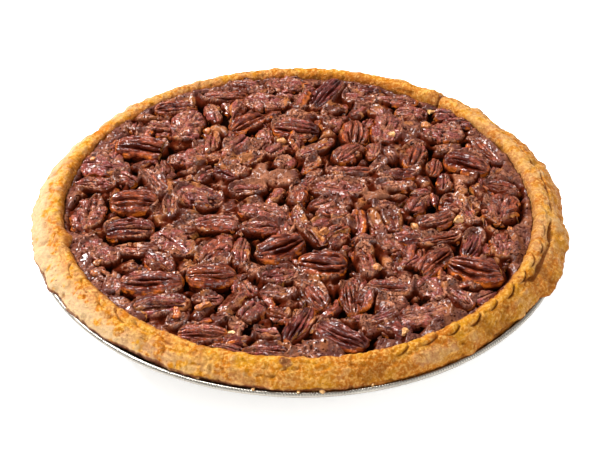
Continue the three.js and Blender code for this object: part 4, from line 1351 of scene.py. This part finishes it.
def strewing():
    """Strews crumbs of a few lumpy shapes over a surface, where its "open" map allows them."""
    tree = bpy.data.node_groups.new("strewing", "GeometryNodeTree")
    sockets = {"Geometry": "Geometry", "Density": "Float", "Least": "Float", "Most": "Float", "Seed": "Int"}
    given = input_sockets(tree, sockets | {"Crumb": "Material"})
    bare = add(tree, "GeometryNodeInputNamedAttribute", [("Name", "open")], data_type="FLOAT").outputs[0]
    density = add(tree, "ShaderNodeMath", [(0, bare), (1, given["Density"])], operation="MULTIPLY").outputs[0]
    where = [("Mesh", given["Geometry"]), ("Density", density), ("Seed", given["Seed"])]
    strewn = add(tree, "GeometryNodeDistributePointsOnFaces", where).outputs["Points"]
    shapes = add(tree, "GeometryNodeJoinGeometry")
    for k in range(CRUMB_SHAPES):
        ball = add(tree, "GeometryNodeMeshIcoSphere", [("Radius", 0.5), ("Subdivisions", 2)]).outputs[0]
        place = [(0, add(tree, "GeometryNodeInputPosition").outputs[0]), (1, (k * 5.0, 0, 0))]
        place = add(tree, "ShaderNodeVectorMath", place, operation="ADD").outputs[0]
        cloud = [("Vector", place), ("Scale", 2.6), ("Detail", 1.0)]
        offset = add(tree, "ShaderNodeTexNoise", cloud).outputs[1]
        for operation, by in (("SUBTRACT", (1, (0.5, 0.5, 0.5))), ("SCALE", ("Scale", 1.3))):
            offset = add(tree, "ShaderNodeVectorMath", [(0, offset), by], operation=operation).outputs[0]
        lumpy = add(tree, "GeometryNodeSetPosition", [("Geometry", ball), ("Offset", offset)]).outputs[0]
        shape = add(tree, "GeometryNodeGeometryToInstance", [(0, lumpy)]).outputs[0]
        tree.links.new(shape, shapes.inputs[0])
    one = [(0, (0.0, 0.0, 0.0)), (1, (1.0, 1.0, 1.0)), ("Seed", given["Seed"])]
    share = add(tree, "FunctionNodeRandomValue", one, data_type="FLOAT_VECTOR").outputs[0]
    ends = [(0, given["Most"]), (1, given["Least"])]
    span = add(tree, "ShaderNodeMath", ends, operation="SUBTRACT").outputs[0]
    scale = share  # squared, so that most crumbs are small
    for operation, by in (("MULTIPLY", (1, share)), ("SCALE", ("Scale", span)), ("ADD", (1, given["Least"]))):
        scale = add(tree, "ShaderNodeVectorMath", [(0, scale), by], operation=operation).outputs[0]
    any_way = [(0, (0.0, 0.0, 0.0)), (1, (6.283, 6.283, 6.283))]
    turn = add(tree, "FunctionNodeRandomValue", any_way, data_type="FLOAT_VECTOR").outputs[0]
    crumb = [("Points", strewn), ("Instance", shapes.outputs[0]), ("Pick Instance", True)]
    crumb += [("Rotation", turn), ("Scale", scale)]
    placed = add(tree, "GeometryNodeInstanceOnPoints", crumb).outputs[0]
    sweet = add(tree, "FunctionNodeRandomValue", [(2, 0.0), (3, 1.0)], data_type="FLOAT").outputs[1]
    tint = [("Geometry", placed), ("Name", "honey"), ("Value", sweet)]
    tinted = add(tree, "GeometryNodeStoreNamedAttribute", tint, data_type="FLOAT", domain="INSTANCE")
    real = add(tree, "GeometryNodeRealizeInstances", [(0, tinted.outputs[0])]).outputs[0]
    smooth = add(tree, "GeometryNodeSetShadeSmooth", [("Geometry", real)]).outputs[0]
    finished = add(tree, "GeometryNodeSetMaterial", [("Geometry", smooth), ("Material", given["Crumb"])])
    add(tree, "NodeGroupOutput", [(0, finished.outputs[0])])
    return tree


bpy.context.view_layer.update()
nutty = ("pecan_half", "broken", "nut_chips", "set_custard")
below = [piece for piece in bpy.context.scene.objects if piece.name.startswith(nutty)]
lump_points, lump_faces, lump_pale = [], [], []
for number, row in enumerate(LUMPS):
    points, faces, pale = lump_mesh(row, number, below)
    start = number * len(points)
    lump_faces += [[i + start for i in face] for face in faces]
    lump_points.append(points)
    lump_pale.append(pale)
lumps = mesh_piece("syrup_lumps", np.vstack(lump_points), lump_faces, pale=np.concatenate(lump_pale))
lumps.data.materials.append(set_syrup())
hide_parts("custard_filling")
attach(lumps, "root")

crumbs = bpy.data.objects.new("crumbs", custard.data.copy())
bpy.context.scene.collection.objects.link(crumbs)
crumb_values = {
    "Density": CRUMBS_TO_SQUARE_METRE,
    "Least": CRUMB_LEAST * MM,
    "Most": CRUMB_MOST * MM,
    "Seed": CRUMB_SEED,
    "Crumb": custard.data.materials[0],
}
put_through(crumbs, strewing(), crumb_values)
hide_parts("custard_filling")
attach(crumbs, "root")

# ---- The floor, the light and the camera ----
# A softly glowing white table under an even sky, with a soft lamp overhead and behind, a smaller one low on
# the left for the glints, and a wide one at the front right that clears the shadows. The lens is long.

FLOOR_SIZE = 8.0
FLOOR_GLOW = 0.5
SKY_STRENGTH = 0.62
LAMPS = [  # name, place in metres, width in metres and power in watts
    ("overhead_softbox", (-0.25, 0.6, 1.4), 0.6, 20.5),
    ("key_softbox", (-1.0, 0.3, 0.9), 0.3, 26),
    ("front_softbox", (0.8, -1.3, 0.9), 1.3, 11),
]
CAMERA_DISTANCE = 1.0
CAMERA_ELEVATION = 36.87
CAMERA_ROLL = 0.6
CAMERA_LENS = 127.3
AIM_HEIGHT = 0.030
SHIFT_RIGHT = 0.0027
SHIFT_UP = -0.0103

half = FLOOR_SIZE / 2 / MM
corners = [(-half, -half, 0), (half, -half, 0), (half, half, 0), (-half, half, 0)]
floor = mesh_piece("floor", corners, [[0, 1, 2, 3]])
white_table, _, _ = new_material(
    "white_table",
    Roughness=0.6,
    Specular_IOR_Level=0.2,
    Base_Color=linear("#FCFCFC"),
    Emission_Color=linear("#FFFFFF"),
    Emission_Strength=FLOOR_GLOW,
)
floor.data.materials.append(white_table)

world = bpy.data.worlds.new("white_sky")
bpy.context.scene.world = world
world.use_nodes = True
background = world.node_tree.nodes["Background"]
background.inputs["Color"].default_value = linear("#FFFFFF")
background.inputs["Strength"].default_value = SKY_STRENGTH

for name, place, width, watts in LAMPS:
    light = bpy.data.lights.new(name, "AREA")
    light.shape = "DISK"
    light.size = width
    light.energy = watts
    lamp = bpy.data.objects.new(name, light)
    lamp.location = place
    lamp.rotation_euler = (-lamp.location.normalized()).to_track_quat("-Z", "Y").to_euler()
    bpy.context.scene.collection.objects.link(lamp)

lens = bpy.data.cameras.new("camera")
lens.lens = CAMERA_LENS
lens.shift_x = SHIFT_RIGHT
lens.shift_y = SHIFT_UP
camera = bpy.data.objects.new("camera", lens)
tilt = math.radians(CAMERA_ELEVATION)
camera.location = (0, -CAMERA_DISTANCE * math.cos(tilt), AIM_HEIGHT + CAMERA_DISTANCE * math.sin(tilt))
level_camera = Matrix.Rotation(math.pi / 2 - tilt, 3, "X")
camera.rotation_euler = (level_camera @ Matrix.Rotation(math.radians(CAMERA_ROLL), 3, "Z")).to_euler()
bpy.context.scene.collection.objects.link(camera)
bpy.context.scene.camera = camera
bpy.context.scene.view_settings.view_transform = "Standard"
